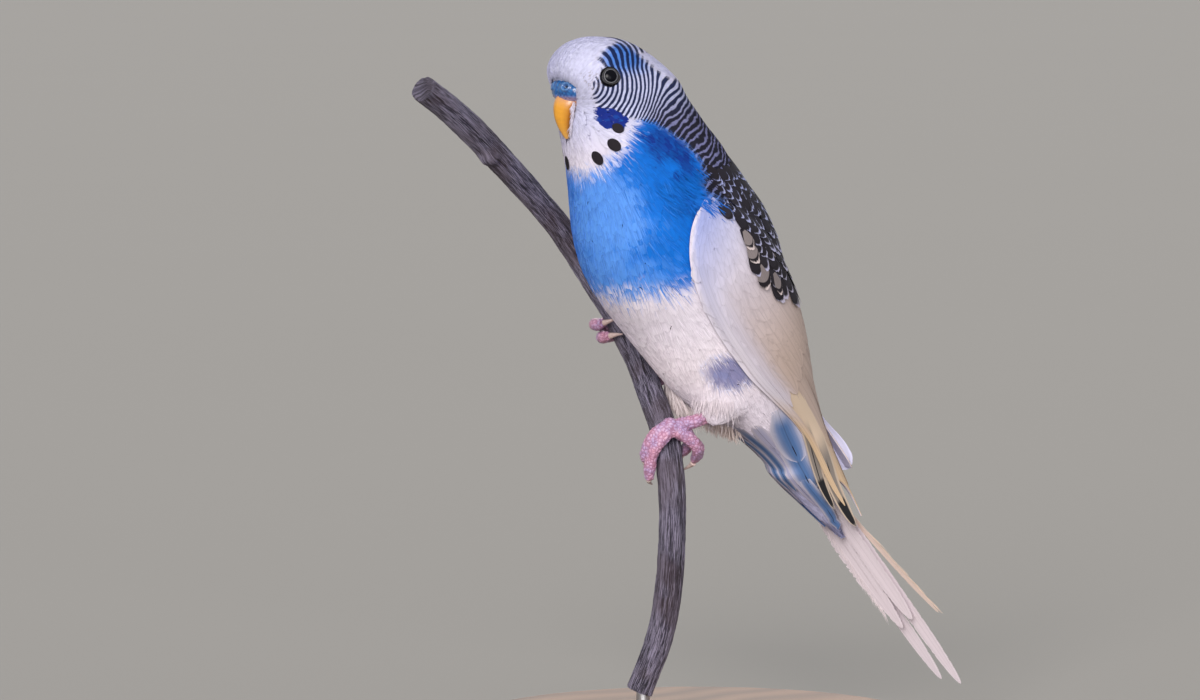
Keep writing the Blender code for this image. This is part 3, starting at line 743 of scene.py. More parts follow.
def markings(points, jitter):
    """Hues and bars of points on the coat: (blue, depth, warmth), zone and brown."""
    place, angle = body_place(points)
    side = np.abs(angle)
    behind = side - table(BARS_FROM, place) + jitter * 1.5
    bars = ease(behind, -3 - 17 * (1 - ease(place, 2.1, 2.9)), 5)
    bars *= 1 - ease(place + jitter * 0.1, 9.2, 10.2) * (1 - ease(side, 92, 104))
    bars *= 1 - ease(place, 13.2, 14.0)
    nape = ease(side + jitter * 2, *NAPE_FROM) * ease(place, 1.3, 2.0) * (1 - ease(place, 3.3, 4.1))
    bars *= 1 - nape
    below_bib = ease(place - table(BREAST_FROM, side) + jitter * 0.15, -0.3, 0.45)
    above_belly = 1 - ease(place + jitter * 0.14, BREAST_TO - 0.35, BREAST_TO + 0.35)
    breast = below_bib * above_belly * (1 - ease(behind, 4, 9) * (place < 9.3)) * (1 - ease(side, 101, 113))
    depth = ease(side + jitter * 5, 6, 84) * 0.74 + 0.1 * ease(jitter, 0.8, 2)
    for middle, reach, deeper in DEPTH_SPOTS_AND_HIGHLIGHT:
        depth += deeper * spot_mask(place, side, middle, reach)
    back = ease(side, 110, 130) * ease(place, 13.6, 14.6)
    flank = spot_mask(place, side, *FLANK_SPOT)
    crown = spot_mask(place, side, *CROWN_SPOT)
    under = ease(place, 17.3, 18.6) * np.maximum(1 - ease(side, 84, 110), ease(place, 20.3, 21.0))
    blue = np.maximum(breast, bars * (1 - ease(place, 5.5, 7.5)) * (0.34 + 0.6 * crown))
    face = 0.24 * (1 - ease(place, 5.5, 8.4))
    # the belly turns lilac and darker towards the vent: painted shade on the underside
    low = 0.20 * ease(place, 13.8, 17.0)
    blue = np.maximum.reduce((blue, back * 0.85, flank * 0.72, under * 0.6, face * (1 - bars), low))
    depth = np.where(bars > 0.3, 0.1 + 0.3 * crown, depth)
    depth = np.where(flank > 0.2, 1.1, depth)
    depth = np.where((face > 0.01) & (bars < 0.3) & (breast < 0.3), -0.3, depth)
    depth = np.where((blue <= low) | (under > 0.1), -1.0, depth)
    warm = 0.30 * ease(place, 13.5, 16.0) * (1 - blue)
    brown = ease(place, 4.2, 6.6) * ease(side, 78, 94)
    hue = np.stack((np.clip(blue, 0, 1), depth, warm), axis=1)
    return hue, np.clip(bars, 0, 1), brown


# %% [markdown]
# ## The look of a feather
#
# The same finish serves the skin and every small feather. White, cream, lilac and the blues are mixed
# by the numbers stored at the points. The bars come from the count of bars, bent by noise, so that they
# stay sharp on any size of feather. Fine streaks along each vane stand for its barbs: they run
# with the feather, because they read how far across and along it a point is.

# %% Plumage finish
SNOW = (0.76, 0.69, 0.76)
CREAM = (0.62, 0.44, 0.28)
LILAC = (0.30, 0.33, 0.58)
SKY = (0.09, 0.27, 0.72)
AZURE = (0.0, 0.135, 0.56)
ULTRAMARINE = (0.002, 0.016, 0.19)
STEEL = (0.055, 0.15, 0.36)
BAR_NAVY = (0.003, 0.010, 0.060)
BAR_BROWN = (0.009, 0.008, 0.016)
NECK_GREY = (0.20, 0.20, 0.38)
BLACK_PLUME = (0.014, 0.010, 0.014)


def plumage(name, streak=1.0, fineness=7.0, varied=0.10, edged=0.0):
    """The finish of feathers: how strong and fine their streaks are, how much single feathers
    differ, and how clear the edges and shafts of long ones are."""
    look = Look(name, Roughness=0.72, Specular_IOR_Level=0.22)
    across, along, chance = look.triple("vane")
    blue, depth, warm = look.triple("hue")
    count, zone, brown = look.triple("bars")
    dark = look.attribute("dark")
    place = look.place()
    barbs = look.vector(across * fineness + chance * 61.0, along * 1.1 - across.size() * 0.8, chance * 17.0)
    fine = look.noise(barbs, 1.0, 3.0, 0.6)
    patch = look.noise(place, 0.16, 2.0)
    light_blue = look.mix(look.ease(depth + (patch - 0.5) * 0.7, 0.0, 0.6), SKY, AZURE)
    blues = look.mix(look.ease(depth + (chance - 0.5) * 0.2, 0.72, 1.15), light_blue, ULTRAMARINE)
    blues = look.mix(look.ease(depth, -0.8, -0.3), LILAC, blues)
    blues = look.mix(look.ease(depth, 2.0, 2.3), blues, STEEL)
    whites = look.mix(warm, SNOW, CREAM)
    colour = look.mix(blue, whites, blues)
    colour = look.mix(brown * zone, colour, NECK_GREY)
    wobble = look.noise(place, 0.36, 1.5, 0.5)
    drift = look.noise(place, 0.14, 1.0)
    bend = (wobble - 0.5) * (0.6 + brown * 0.9) + (drift - 0.5) * brown
    bend = bend + (chance - 0.5) * (0.04 + brown * 0.10)
    wave = ((count + bend) * (2 * math.pi)).sine()
    duty = brown * 0.46 + blue * zone * 0.35
    bar = look.ease(wave + (fine - 0.5) * (0.3 + brown * 0.5) + duty, -0.10, 0.22) * look.ease(zone, 0.1, 0.6)
    colour = look.mix(bar * 0.97, colour, look.mix(brown, BAR_NAVY, BAR_BROWN))
    rim = across * across * along**3 * 0.85 + along**9 * 0.75 + (fine - 0.5) * 0.35 + (chance - 0.5) * 0.2
    rim = look.ease(rim, 0.17, 0.36)
    crescent = look.ease(along + across * across * 0.2, 0.66, 0.74) * look.ease(dark, 0.1, 0.3)
    centre = dark.math("MAXIMUM", crescent) * (1.0 - rim)
    centre = look.node("ShaderNodeClamp", {}, {0: centre + look.ease(dark, 1.4, 1.6)})
    colour = look.mix(centre, colour, BLACK_PLUME)
    # the quill end of each feather is darker: painted shade where the feather above covers it
    shade = 1.0 + (fine - 0.5) * (0.55 * streak) + (chance - 0.5) * varied - (1.0 - along) * 0.06
    if edged:
        border = look.ease(across.size() * 0.9 + along**8 * 0.5, 0.74, 0.90)
        shade = shade + (border - look.ease(across.size() + along**8 * 0.4, 0.50, 0.76) * 0.7) * edged
        shade = shade - (1.0 - look.ease(across.size(), 0.02, 0.07)) * (edged * 0.9)
    colour = look.scaled(colour, shade)
    return look.feed(Base_Color=colour, Normal=look.bump(fine, 0.06 * streak, 0.7))


plume_look = plumage("plumage")
lock_look = plumage("plumage_locks", varied=0.34)

# %% [markdown]
# ## Laying the skin down
#
# The skin carries the markings too, so that a gap between two feathers never shows. It takes the
# place of every solid of flesh.

# %% Skin
FLESH = ("head", "neck", "trunk", "rump", "undertail", "thigh_left", "thigh_right")


def dress(mesh, vane, hue, bars, dark):
    """Stores all that the plumage finish reads."""
    keep(mesh, "vane", vane)
    keep(mesh, "hue", hue)
    keep(mesh, "bars", bars)
    keep(mesh, "dark", dark)


skin_mesh = form_mesh.copy()
move_points(skin_mesh, form.points - form.normals * COAT_DEPTH)
skin_points = len(form.points)
skin_hue, skin_zone, skin_brown = markings(form.points, np.zeros(skin_points))
skin_bars = np.stack((bar_count(form.points), skin_zone, skin_brown), axis=1)
dress(skin_mesh, np.tile((0.0, 0.5, 0.5), (skin_points, 1)), skin_hue, skin_bars, np.zeros(skin_points))
piece("skin", skin_mesh, plume_look, "head_plumage", *FLESH)

# %% [markdown]
# ## The lie of the coat
#
# Feathers on the head point away from the root of the bill, over the crown, past the eye and down
# the bib. Lower down they turn to run with the body: straight down the front, and slanting back
# along the flanks. Any direction is laid flat on the surface before it is used.

# %% Lie
BILL_ROOT = from_head(9.6, 0.0, 58.5)
FRONT_WAY = np.array((0.10, 0.0, -1.0))
SIDE_WAY = np.array((0.74, 0.0, -0.67))
TAIL_WAY = np.array((0.657, 0.0, -0.754))


def flat_on(ways, normals):
    return unit(ways - normals * np.sum(ways * normals, axis=-1, keepdims=True))


def lie(points, normals):
    """The way a feather rooted at each point lies."""
    from_bill = points - BILL_ROOT
    away = np.linalg.norm(from_bill, axis=1, keepdims=True)
    sideways = np.abs(points[:, 1:2] - BIRD_AT[1]) / 18.0
    body = unit(blend(ease(sideways, 0.25, 0.95), FRONT_WAY, SIDE_WAY))
    low = ease(BIRD_AT[2] - 5.0 - points[:, 2:3], 0.0, 14.0)
    body = unit(blend(low, body, TAIL_WAY))
    ways = blend(ease(away, 15.0, 32.0), unit(from_bill), body)
    return flat_on(ways, normals)


# %% [markdown]
# ## Where feathers grow
#
# Roots are strewn over the surface at random and then thinned, so that no two are nearer than the
# spacing asked for at their place. This looks even and never shows rows.


# %% Roots
def strew(hide, spacing_at, rng):
    """Points and normals of roots, spaced as asked for."""
    a, b, c = (hide.points[hide.triangles[:, k]] for k in range(3))
    cross = np.cross(b - a, c - a)
    area = np.linalg.norm(cross, axis=1) / 2
    middle_spacing = spacing_at((a + b + c) / 3)
    weight = np.where(middle_spacing > 0, area / np.maximum(middle_spacing, 1e-3) ** 2, 0.0)
    tries = int(weight.sum() * 4.5)
    pick = rng.choice(len(weight), tries, p=weight / weight.sum())
    u, v = rng.random((2, tries))
    over = u + v > 1
    u[over], v[over] = 1 - u[over], 1 - v[over]
    points = a[pick] + (b - a)[pick] * u[:, None] + (c - a)[pick] * v[:, None]
    gaps = spacing_at(points)
    usable = gaps > 0
    points, gaps, pick = points[usable], gaps[usable], pick[usable]
    tree = tree_of(points)
    dropped = np.zeros(len(points), bool)
    kept = []
    for index, row in enumerate(points.tolist()):
        if dropped[index]:
            continue
        kept.append(index)
        for _, other, _ in tree.find_range(row, gaps[index]):
            dropped[other] = True
    kept = np.array(kept)
    return points[kept], hide.drop(points[kept])[1]


# %% [markdown]
# ## One feather
#
# A contour feather is a thin cupped vane: narrow at the quill, broad past the middle and round at
# the tip. Here it is a closed lens: a grid on top, and a second one just below it that shares the
# rim. A lock is a bundle of barbs, a three-sided spindle. Both are described once, in shares of
# the feather's length and width, and used for all.


# %% A closed sheet
class Sheet:
    """The pattern of a closed thin grid: its row, its column and which points are underneath."""

    def __init__(self, rows, columns):
        top = {(i, j): i * columns + j for i in range(rows) for j in range(columns)}
        inner = [(i, j) for i in range(1, rows - 1) for j in range(1, columns - 1)]
        low = {**top, **{spot: len(top) + k for k, spot in enumerate(inner)}}
        order = sorted(top) + inner
        self.row = np.array([i for i, _ in order])
        self.column = np.array([j for _, j in order])
        self.under = np.arange(len(order)) >= len(top)
        faces = []
        for i in range(rows - 1):
            for j in range(columns - 1):
                ring = ((i, j), (i + 1, j), (i + 1, j + 1), (i, j + 1))
                faces += [[top[c] for c in ring], [low[c] for c in reversed(ring)]]
        self.faces = [np.array(faces)]
        self.last = rows - 1
        self.across = 2 * self.column / (columns - 1) - 1
        self.along = self.row / (rows - 1)


# %% Small feathers
VANE_QUILL = 0.35
VANE_BROAD = 0.6  # how far along a vane is at its broadest
VANE_ROUND = 0.22


class Vane(Sheet):
    """A small feather: how far across and along it each point is."""

    def __init__(self, rows, columns):
        super().__init__(rows, columns)
        edge, s = self.across, self.along
        wide = VANE_QUILL + (1 - VANE_QUILL) * np.sin(math.pi / 2 * np.minimum(s / VANE_BROAD, 1.0))
        wide *= 1 - 0.25 * np.maximum(0.0, (s - 0.8) / 0.2)
        self.camber = 1 - edge**2
        self.across = edge * wide
        self.along = s * (1 - VANE_ROUND * edge**2 * s**2)
        self.tip = self.row == self.last


class Oval(Vane):
    """A round feather, all of which shows."""

    def __init__(self, rows, columns):
        super().__init__(rows, columns)
        edge = 2 * self.column / (columns - 1) - 1
        self.along = (1 - np.cos(math.pi * self.row / (rows - 1))) / 2
        self.across = edge * np.sqrt(np.clip(1 - (2 * self.along - 1) ** 2, 0.02, 1))


SMALL_VANE = Vane(4, 5)
BODY_VANE = Vane(5, 7)
LARGE_VANE = Vane(9, 9)
print("points of each vane:", [len(v.row) for v in (SMALL_VANE, BODY_VANE, LARGE_VANE)])

# %% Locks
LOCK_RINGS = ((0.0, 0.7), (0.45, 1.0), (0.8, 0.55))
LOCK_SIDES = 3


def lock_pattern():
    """Along and the two offsets of each point of a spindle, and its faces."""
    along, side, rise = [], [], []
    for s, wide in LOCK_RINGS:
        for k in range(LOCK_SIDES):
            turn = 2 * math.pi * k / LOCK_SIDES + math.pi / 6
            along.append(s)
            side.append(math.cos(turn) * wide)
            rise.append(math.sin(turn) * wide)
    along.append(1.0)
    side.append(0.0)
    rise.append(0.0)
    quads, ends = [], []
    for i in range(len(LOCK_RINGS) - 1):
        for k in range(LOCK_SIDES):
            a, b = i * LOCK_SIDES + k, i * LOCK_SIDES + (k + 1) % LOCK_SIDES
            quads.append((a, b, b + LOCK_SIDES, a + LOCK_SIDES))
    last = (len(LOCK_RINGS) - 1) * LOCK_SIDES
    for k in range(LOCK_SIDES):
        ends.append((last + k, last + (k + 1) % LOCK_SIDES, last + LOCK_SIDES))
    ends.append((0, 2, 1))
    return np.array((along, side, rise)), [np.array(quads), np.array(ends)]


LOCK = lock_pattern()


# %% [markdown]
# ## Laying feathers
#
# Each feather starts as a flat shape at its root. Its points are then dropped onto the surface, so
# that it hugs the body, and raised: a little at the tip, so that it covers the next one, and sunk
# at the quill. A second map, for baking, gives every feather a small patch of its own at its root's
# place on an unwrap of the body.

# %% The map for baking
BAKE_PATCH = 0.003
BAKE_EDGE = 0.01


def unwrap(points):
    """The roots' places on an unwrap of the body, stretched to fill the map."""
    place, angle = body_place(points)
    spot = np.stack((angle, place), axis=1)
    spot += np.random.default_rng(5).uniform(-0.5, 0.5, spot.shape) * (3.0, 0.1)
    low, high = spot.min(axis=0), spot.max(axis=0)
    return BAKE_EDGE + (spot - low) / (high - low) * (1 - 2 * BAKE_EDGE)


def all_faces(faces, each, count):
    """The faces of a pattern, repeated for every feather."""
    shift = np.arange(count)[:, None, None] * each
    return [(f[None] + shift).reshape(-1, f.shape[1]) for f in faces]


def add_map(mesh, name, spots):
    layer = mesh.uv_layers.new(name=name)
    layer.data.foreach_set("uv", spots[corner_points(mesh)].astype(np.float32).ravel())


def tuft_map(mesh, roots, across, along):
    """A patch for each tuft, at its root's place on the unwrap."""
    spots = unwrap(roots)[:, None] + np.stack((across / 2, along - 0.5), axis=-1)[None] * BAKE_PATCH
    add_map(mesh, "OFBake", spots.reshape(-1, 2))


# %% Laying
VANE_THICK = 0.035
SOFTNESS = 0.93


def turned(ways, normals, angles_deg):
    side = np.cross(normals, ways)
    angle = np.radians(angles_deg)[:, None]
    return ways * np.cos(angle) + side * np.sin(angle)


def colours(points, marks, each, barred=None):
    """The hues and bars of the points of feathers. Marks are a rule for hues, or the jitter of the
    bird's own markings, one number for each feather, or else a hue for each feather."""
    if callable(marks):
        return marks(points), np.zeros((len(points), 3))
    if marks.ndim == 1:
        hue, zone, brown = markings(points, np.repeat(marks, each))
        return hue, np.stack((bar_count(points if barred is None else barred), zone, brown), axis=1)
    return np.repeat(marks, each, axis=0), np.zeros((len(points), 3))


def lay_vanes(name, hide, roots, normals, ways, length, half, sunk, raised, marks, rng,
              pattern, cup=0.03, fringe=0.06, dark=None):
    """A mesh of vanes laid on a surface."""
    across, along = pattern.across, pattern.along
    count, each = len(roots), len(across)
    side = np.cross(normals, ways)
    reach = along[None, :] + pattern.tip[None, :] * rng.normal(0, fringe, (count, each))
    wide = across[None, :] * half[:, None]
    flat = roots[:, None] + ways[:, None] * (reach * length[:, None])[..., None]
    flat = flat + side[:, None] * wide[..., None]
    rise = blend(np.clip(reach, 0, 1) ** 0.8, sunk[:, None], raised[:, None])
    rise = rise + pattern.camber * cup * half[:, None] - pattern.under * VANE_THICK
    points, up = hide.hug(flat.reshape(-1, 3), rise.ravel())
    mesh = mesh_of(name, points, all_faces(pattern.faces, each, count))
    soften(mesh, hide.lit, SOFTNESS)
    chance = rng.random(count)
    vane = np.stack(np.broadcast_arrays(across[None], along[None], chance[:, None]), axis=-1)
    dark = np.zeros(count) if dark is None else dark
    dress(mesh, vane.reshape(-1, 3), *colours(points, marks, each), np.repeat(dark, each))
    tuft_map(mesh, roots, across, along)
    return mesh


def lay_locks(name, hide, roots, normals, ways, length, half, sunk, raised, marks, rng, dark=0.0):
    """A mesh of fine locks laid on a surface, or straight out into the air."""
    numbers, faces = LOCK
    along, offset, rise_share = numbers
    count, each = len(roots), len(along)
    side = np.cross(normals, ways)
    flat = roots[:, None] + ways[:, None] * (along[None, :] * length[:, None])[..., None]
    flat = flat + side[:, None] * (offset[None, :] * half[:, None])[..., None]
    rise = blend(along[None, :], sunk[:, None], raised[:, None]) + rise_share * half[:, None] * 0.6
    if hide is None:
        up = np.repeat(normals, each, axis=0)
        points = flat.reshape(-1, 3) + up * rise.reshape(-1, 1)
    else:
        points, up = hide.hug(flat.reshape(-1, 3), rise.ravel())
    mesh = mesh_of(name, points, all_faces(faces, each, count))
    soften(mesh, up if hide is None else hide.lit, SOFTNESS)
    chance = rng.random(count)
    vane = np.stack(np.broadcast_arrays(offset[None] * 0.3, along[None], chance[:, None]), axis=-1)
    halfway = (points + np.repeat(roots, each, axis=0)) / 2
    dress(mesh, vane.reshape(-1, 3), *colours(halfway, marks, each, points), np.full(len(points), dark))
    tuft_map(mesh, roots, offset, along)
    return mesh


# %% [markdown]
# ## The folded wings' surface
#
# A folded wing lies on the body like a shield. Its table says, for each place along the body, the
# angles of its front and back edges, how thick it is and how far it stands off. A point of it is
# given by its row in the table and its share of the way from the front edge to the back edge.

# %% Wing surface
WING_ROWS = (  # place, front angle, back angle, thickness, lift
    (9.7, 86.0, 96.0, 0.9, 0.55),
    (10.1, 79.0, 102.0, 1.5, 0.55),
    (10.7, 71.0, 108.0, 2.1, 0.55),
    (11.5, 65.0, 116.0, 2.5, 0.55),
    (12.5, 61.0, 126.0, 2.6, 0.55),
    (13.5, 59.0, 138.0, 2.5, 0.55),
    (14.5, 60.0, 152.0, 2.4, 0.55),
    (15.5, 65.5, 166.0, 2.2, 0.55),
    (16.5, 75.0, 175.0, 2.0, 0.55),
)
WING_TIPS = {
    "left": (
        (17.5, 83.0, 177.0, 1.8, 0.55),
        (18.5, 86.0, 174.0, 1.5, 0.55),
        (19.5, 84.0, 160.0, 1.3, 0.6),
        (20.4, 82.0, 140.0, 1.1, 0.8),
        (21.2, 86.0, 122.0, 0.9, 1.1),
        (21.7, 95.0, 111.0, 0.7, 1.4),
    ),
    "right": (
        (17.3, 82.0, 178.0, 1.7, 0.8),
        (18.0, 92.0, 184.0, 1.5, 2.6),
        (18.7, 108.0, 192.0, 1.2, 3.4),
        (19.3, 132.0, 198.0, 1.0, 3.9),
        (19.8, 158.0, 200.0, 0.8, 4.3),
        (20.1, 176.0, 196.0, 0.7, 4.6),
    ),
}
WING_EDGE = 0.65
WING_BED = 0.3  # the shell lies this far below the outside of the wing's feathers
WING_END = len(WING_ROWS) + len(WING_TIPS["left"]) - 1
SIGN = {"left": 1, "right": -1}


def on_wing(side, row, share, out=0.0, inner=False):
    """Points of a wing's outer face, or of its inner one."""
    row, share = np.broadcast_arrays(np.asarray(row, float), np.asarray(share, float))
    rows = rows_at(WING_ROWS + WING_TIPS[side], row)
    place, front, back, thick, lift = np.moveaxis(rows, -1, 0)
    angle = SIGN[side] * (front + (back - front) * share)
    full = np.sqrt(np.sin(math.pi * np.clip(share, 0, 1)).clip(0))
    height = lift if inner else lift + np.maximum(WING_EDGE, thick * full)
    return on_body(place, angle, height + out)


# %% Plates
def plate_mesh(name, inner, outer):
    """A closed plate between two grids of points of the same shape."""
    rows, columns = inner.shape[:2]
    i, j = np.meshgrid(np.arange(rows - 1), np.arange(columns - 1), indexing="ij")
    a = (i * columns + j).ravel()
    quads = np.stack((a, a + 1, a + columns + 1, a + columns), axis=1)
    far = rows * columns
    rim = [(0, j) for j in range(columns)] + [(i, columns - 1) for i in range(1, rows)]
    rim += [(rows - 1, j) for j in range(columns - 2, -1, -1)] + [(i, 0) for i in range(rows - 2, 0, -1)]
    edge = np.array([i * columns + j for i, j in rim])
    after = np.roll(edge, -1)
    walls = np.stack((edge, after, after + far, edge + far), axis=1)
    points = np.concatenate((inner.reshape(-1, 3), outer.reshape(-1, 3)))
    return mended(mesh_of(name, points, [quads, quads + far, walls]))


# %% Wing shells
WING_SHOWN = {  # the shell's last row, at its front and its back edge
    "left": (11.6, 13.3),
    "right": (WING_END, WING_END),
}
wing_share = ((1 - np.cos(np.linspace(0, math.pi, 29))) / 2)[None, :]
wing_row = {
    side: np.linspace(0, 1, 85)[:, None] * (front + (back - front) * wing_share**2)
    for side, (front, back) in WING_SHOWN.items()
}
wing_shells, wing_beds = {}, {}
for side in SIGN:
    outer = on_wing(side, wing_row[side], wing_share, -WING_BED)
    inner = on_wing(side, wing_row[side], wing_share, inner=True)
    wing_shells[side] = plate_mesh(f"wing_shell_{side}", inner, outer)
    bed = on_wing(side, np.linspace(0, WING_END, 85)[:, None], wing_share, -WING_BED)
    bed = grid_mesh(f"wing_bed_{side}", bed if side == "left" else bed[:, ::-1], False)
    bed = wing_beds[side] = Hide(bed)
    facing = np.mean(np.sum((bed.points - form_middle) * bed.normals, axis=1))
    print(side, "wing bed faces", "out" if facing > 0 else "in")
draped = Hide(remeshed("draped", [form_mesh, *wing_shells.values()], 0.8, 10))

# %% [markdown]
# ## Bare places
#
# Nothing grows on the eyes, the cere and the bill, or where the folded wing covers the flank.

# %% Bare places
EYE_BARE = 1.74
UNDERTAIL_END = 21.8
BILL_CLEAR = 0.3
FACE_AT = (11.0, 0.0, 58.0)
FACE_SIZE = 14.0
COVER_MARGINS = (9, 10)  # degrees that feathers grow under the wing's front and back edges
COVER_PLACES = (10.6, 18.5)

eye_at = {side: middle_of(f"eye_{side}") for side in SIGN}
eye_low, eye_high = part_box("eye_right")
EYE_RADIUS = (eye_high - eye_low).x / 2 / MM
_, eye_out = form.drop(np.array([eye_at["left"], eye_at["right"]]))
eye_way = dict(zip(SIGN, eye_out))
face_parts = [Hide(solid_copy(n)) for n in ("cere", "bill_upper", "bill_lower")]
wing_cover = np.array(WING_ROWS + WING_TIPS["left"][:3])


def bare(points):
    """Whether a point is on the eye, under the bill or under a folded wing."""
    found = np.zeros(len(points), bool)
    for side in SIGN:
        found |= np.linalg.norm(points - (eye_at[side] + eye_way[side] * 2.0), axis=1) < EYE_BARE
    near_face = np.linalg.norm(points - from_head(*FACE_AT), axis=1) < FACE_SIZE
    for hide in face_parts:
        within, away = hide.inside(points[near_face])
        found[near_face] |= within | (away < BILL_CLEAR)
    place, angle = body_place(points)
    front = np.interp(place, wing_cover[:, 0], wing_cover[:, 1])
    back = np.interp(place, wing_cover[:, 0], wing_cover[:, 2])
    covered = (np.abs(angle) > front + COVER_MARGINS[0]) & (np.abs(angle) < back - COVER_MARGINS[1])
    covered &= (place > COVER_PLACES[0]) & (place < COVER_PLACES[1])
    return found | covered | (place > UNDERTAIL_END)


print("eyes at", {k: v.round(1).tolist() for k, v in eye_at.items()}, "radius", round(EYE_RADIUS, 2))

# %% [markdown]
# ## The contour feathers
#
# The smallest feathers are round the bill and eyes, barely a millimetre and a half long. They grow
# to three on the neck and six on the belly. All are strewn in one go, and then shared out among
# pieces by their place on the body. They lie almost flat: each tip stands only a little over the
# next feather, or the coat would look like a fir cone.

# %% Contour feathers
FEATHER_SIZES = (  # place along the body, spacing, length
    (-1.0, 0.62, 2.2), (2.0, 0.60, 2.0), (4.0, 0.58, 2.2), (6.0, 0.68, 2.8), (7.5, 0.9, 3.6),
    (9.5, 1.15, 4.6), (12.0, 1.3, 5.6), (15.0, 1.3, 5.6), (16.5, 1.0, 4.2), (21.0, 0.95, 3.6),
)
FACE_REACH = 12.0  # feathers within this distance of the bill are smaller
FACE_SHARE = 0.72
TILT = 0.06  # how far the quill is sunk, for each millimetre of length
sizes = np.array(FEATHER_SIZES)


def near_bill(points):
    return 1 - ease(np.linalg.norm(points - BILL_ROOT, axis=1), 4.0, FACE_REACH)


def feather_size(points, column):
    """The spacing or the length of feathers, which are the table's columns 1 and 2."""
    place, _ = body_place(points)
    return np.interp(place, sizes[:, 0], sizes[:, column]) * blend(near_bill(points), 1.0, FACE_SHARE)


def sow(density, jitter, turn, lengths, rng):
    """Roots over the body but for its bare places: their places, points, normals, ways, lengths and
    jitters."""
    points, normals = strew(form, lambda p: feather_size(p, 1) * density, rng)
    grown = ~bare(points)
    points, normals = points[grown], normals[grown]
    place, _ = body_place(points)
    jitters = rng.normal(0, jitter, len(points))
    ways = turned(lie(points, normals), normals, rng.normal(0, turn, len(points)))
    length = feather_size(points, 2) * rng.uniform(*lengths, len(points))
    return place, points, normals, ways, length, jitters


# %% The coat
COAT_PIECES = {  # places from and to, slot
    "coat_crown": (-2.0, 2.6, "head_plumage"),
    "coat_cheeks": (2.6, 5.2, "head_plumage"),
    "coat_nape": (5.2, 8.0, "head_plumage"),
    "coat_breast": (8.0, 12.0, "breast_plumage"),
    "coat_belly": (12.0, 16.0, "belly_plumage"),
    "coat_rump": (16.0, 30.0, "belly_plumage"),
}
rng = np.random.default_rng(11)
coat = sow(1.0, 1.0, 4.0, (0.88, 1.12), rng)
print("contour feathers:", len(coat[0]))
for name, (first, last, slot) in COAT_PIECES.items():
    chosen = (coat[0] >= first) & (coat[0] < last)
    _, points, normals, ways, length, jitter = (part[chosen] for part in coat)
    raised = rng.uniform(-0.10, 0.0, len(length))
    half = length * rng.uniform(0.26, 0.34, len(length))
    mesh = lay_vanes(
        name, form, points, normals, ways, length, half, raised - TILT * length, raised, jitter, rng,
        SMALL_VANE if first < 8.0 else BODY_VANE,
    )
    piece(name, mesh, plume_look, slot)

# %% [markdown]
# ## Locks over the coat
#
# What the eye sees of small feathers is their barbs: hair-fine streaks. Slim locks lie over the
# vanes, a little lighter or darker than them, and hide their outlines.

# %% Locks over the coat
LOCK_SPACING = 0.52
LOCK_HALF = 0.0225  # for each millimetre of length
LOCK_LEAST = 0.06
LOCK_TILT = 0.05

locks = sow(LOCK_SPACING, 1.2, 6.0, (0.7, 1.3), rng)
print("locks:", len(locks[0]))
for name, (first, last, slot) in COAT_PIECES.items():
    chosen = (locks[0] >= first) & (locks[0] < last)
    _, points, normals, ways, length, jitter = (part[chosen] for part in locks)
    raised = rng.uniform(0.0, 0.10, len(length))
    name = name.replace("coat", "locks")
    half = np.maximum(LOCK_LEAST, length * LOCK_HALF)
    mesh = lay_locks(
        name, form, points, normals, ways, length, half, raised - LOCK_TILT * length, raised, jitter, rng
    )
    piece(name, mesh, lock_look, slot)

# %% [markdown]
# ## Long feathers
#
# The flight feathers of the wing and tail have a shaft and two webs. Each follows a path over a
# surface or in the air, and is closed like the small vanes, with more rows. The shaft is a ridge
# along its middle. The edges are a little ragged where barbs have parted.

# %% Long feathers
SHAFT_COLUMNS = np.array((-1.0, -0.8, -0.5, -0.2, -0.06, 0.0, 0.06, 0.2, 0.5, 0.8, 1.0))
LONG_THICK = 0.08
SHAFT_RISE = 0.06
PLUME_SOFTNESS = 0.85


class Plume(Sheet):
    """A long feather with a shaft."""

    def __init__(self, rows):
        super().__init__(rows, len(SHAFT_COLUMNS))
        self.across = SHAFT_COLUMNS[self.column]


def outline(along, quill, opened, closing, blunt):
    """The half width of a long feather, as a share of its widest, from quill to tip."""
    start = quill + (1 - quill) * ease(along, 0.0, opened)
    end = np.clip((along - (1 - closing)) / closing, 0, 1)
    return start * (1 - end**blunt * 0.985) ** (1 / blunt)


# %% One long feather
SPLIT_CHANCE = 0.72  # above it, barbs have parted at the edge


def long_feather(pattern, path, side, up, front, back, rng, camber, ragged, hide=None, rise=0.0):
    """The points of a long feather and their normals: its two webs may differ in width."""
    i, x = pattern.row, pattern.across
    half = np.where(x < 0, front[i], back[i])
    split = rng.random((pattern.last + 1, len(SHAFT_COLUMNS)))
    split = np.where(split > SPLIT_CHANCE, (split - SPLIT_CHANCE) * ragged, 0.0)
    half = half * (1 - split[i, pattern.column] * (np.abs(x) > 0.7))
    points = path[i] + side[i] * (x * half)[:, None]
    lift = camber * (1 - x**2) * half / 3 + SHAFT_RISE * (x == 0) - LONG_THICK * pattern.under
    lift = lift * np.where(pattern.row == pattern.last, 0.3, 1.0)
    if hide is None:
        return points + up[i] * lift[:, None], up[i]
    return hide.hug(points, lift + np.broadcast_to(rise, path.shape[:1])[i])


def strips(pattern, number, count):
    """A strip of the map for each of a number of long feathers."""
    across = (number + 0.5 + 0.46 * pattern.across) / count
    return np.stack((across, BAKE_EDGE + pattern.along * (1 - 2 * BAKE_EDGE)), axis=1)


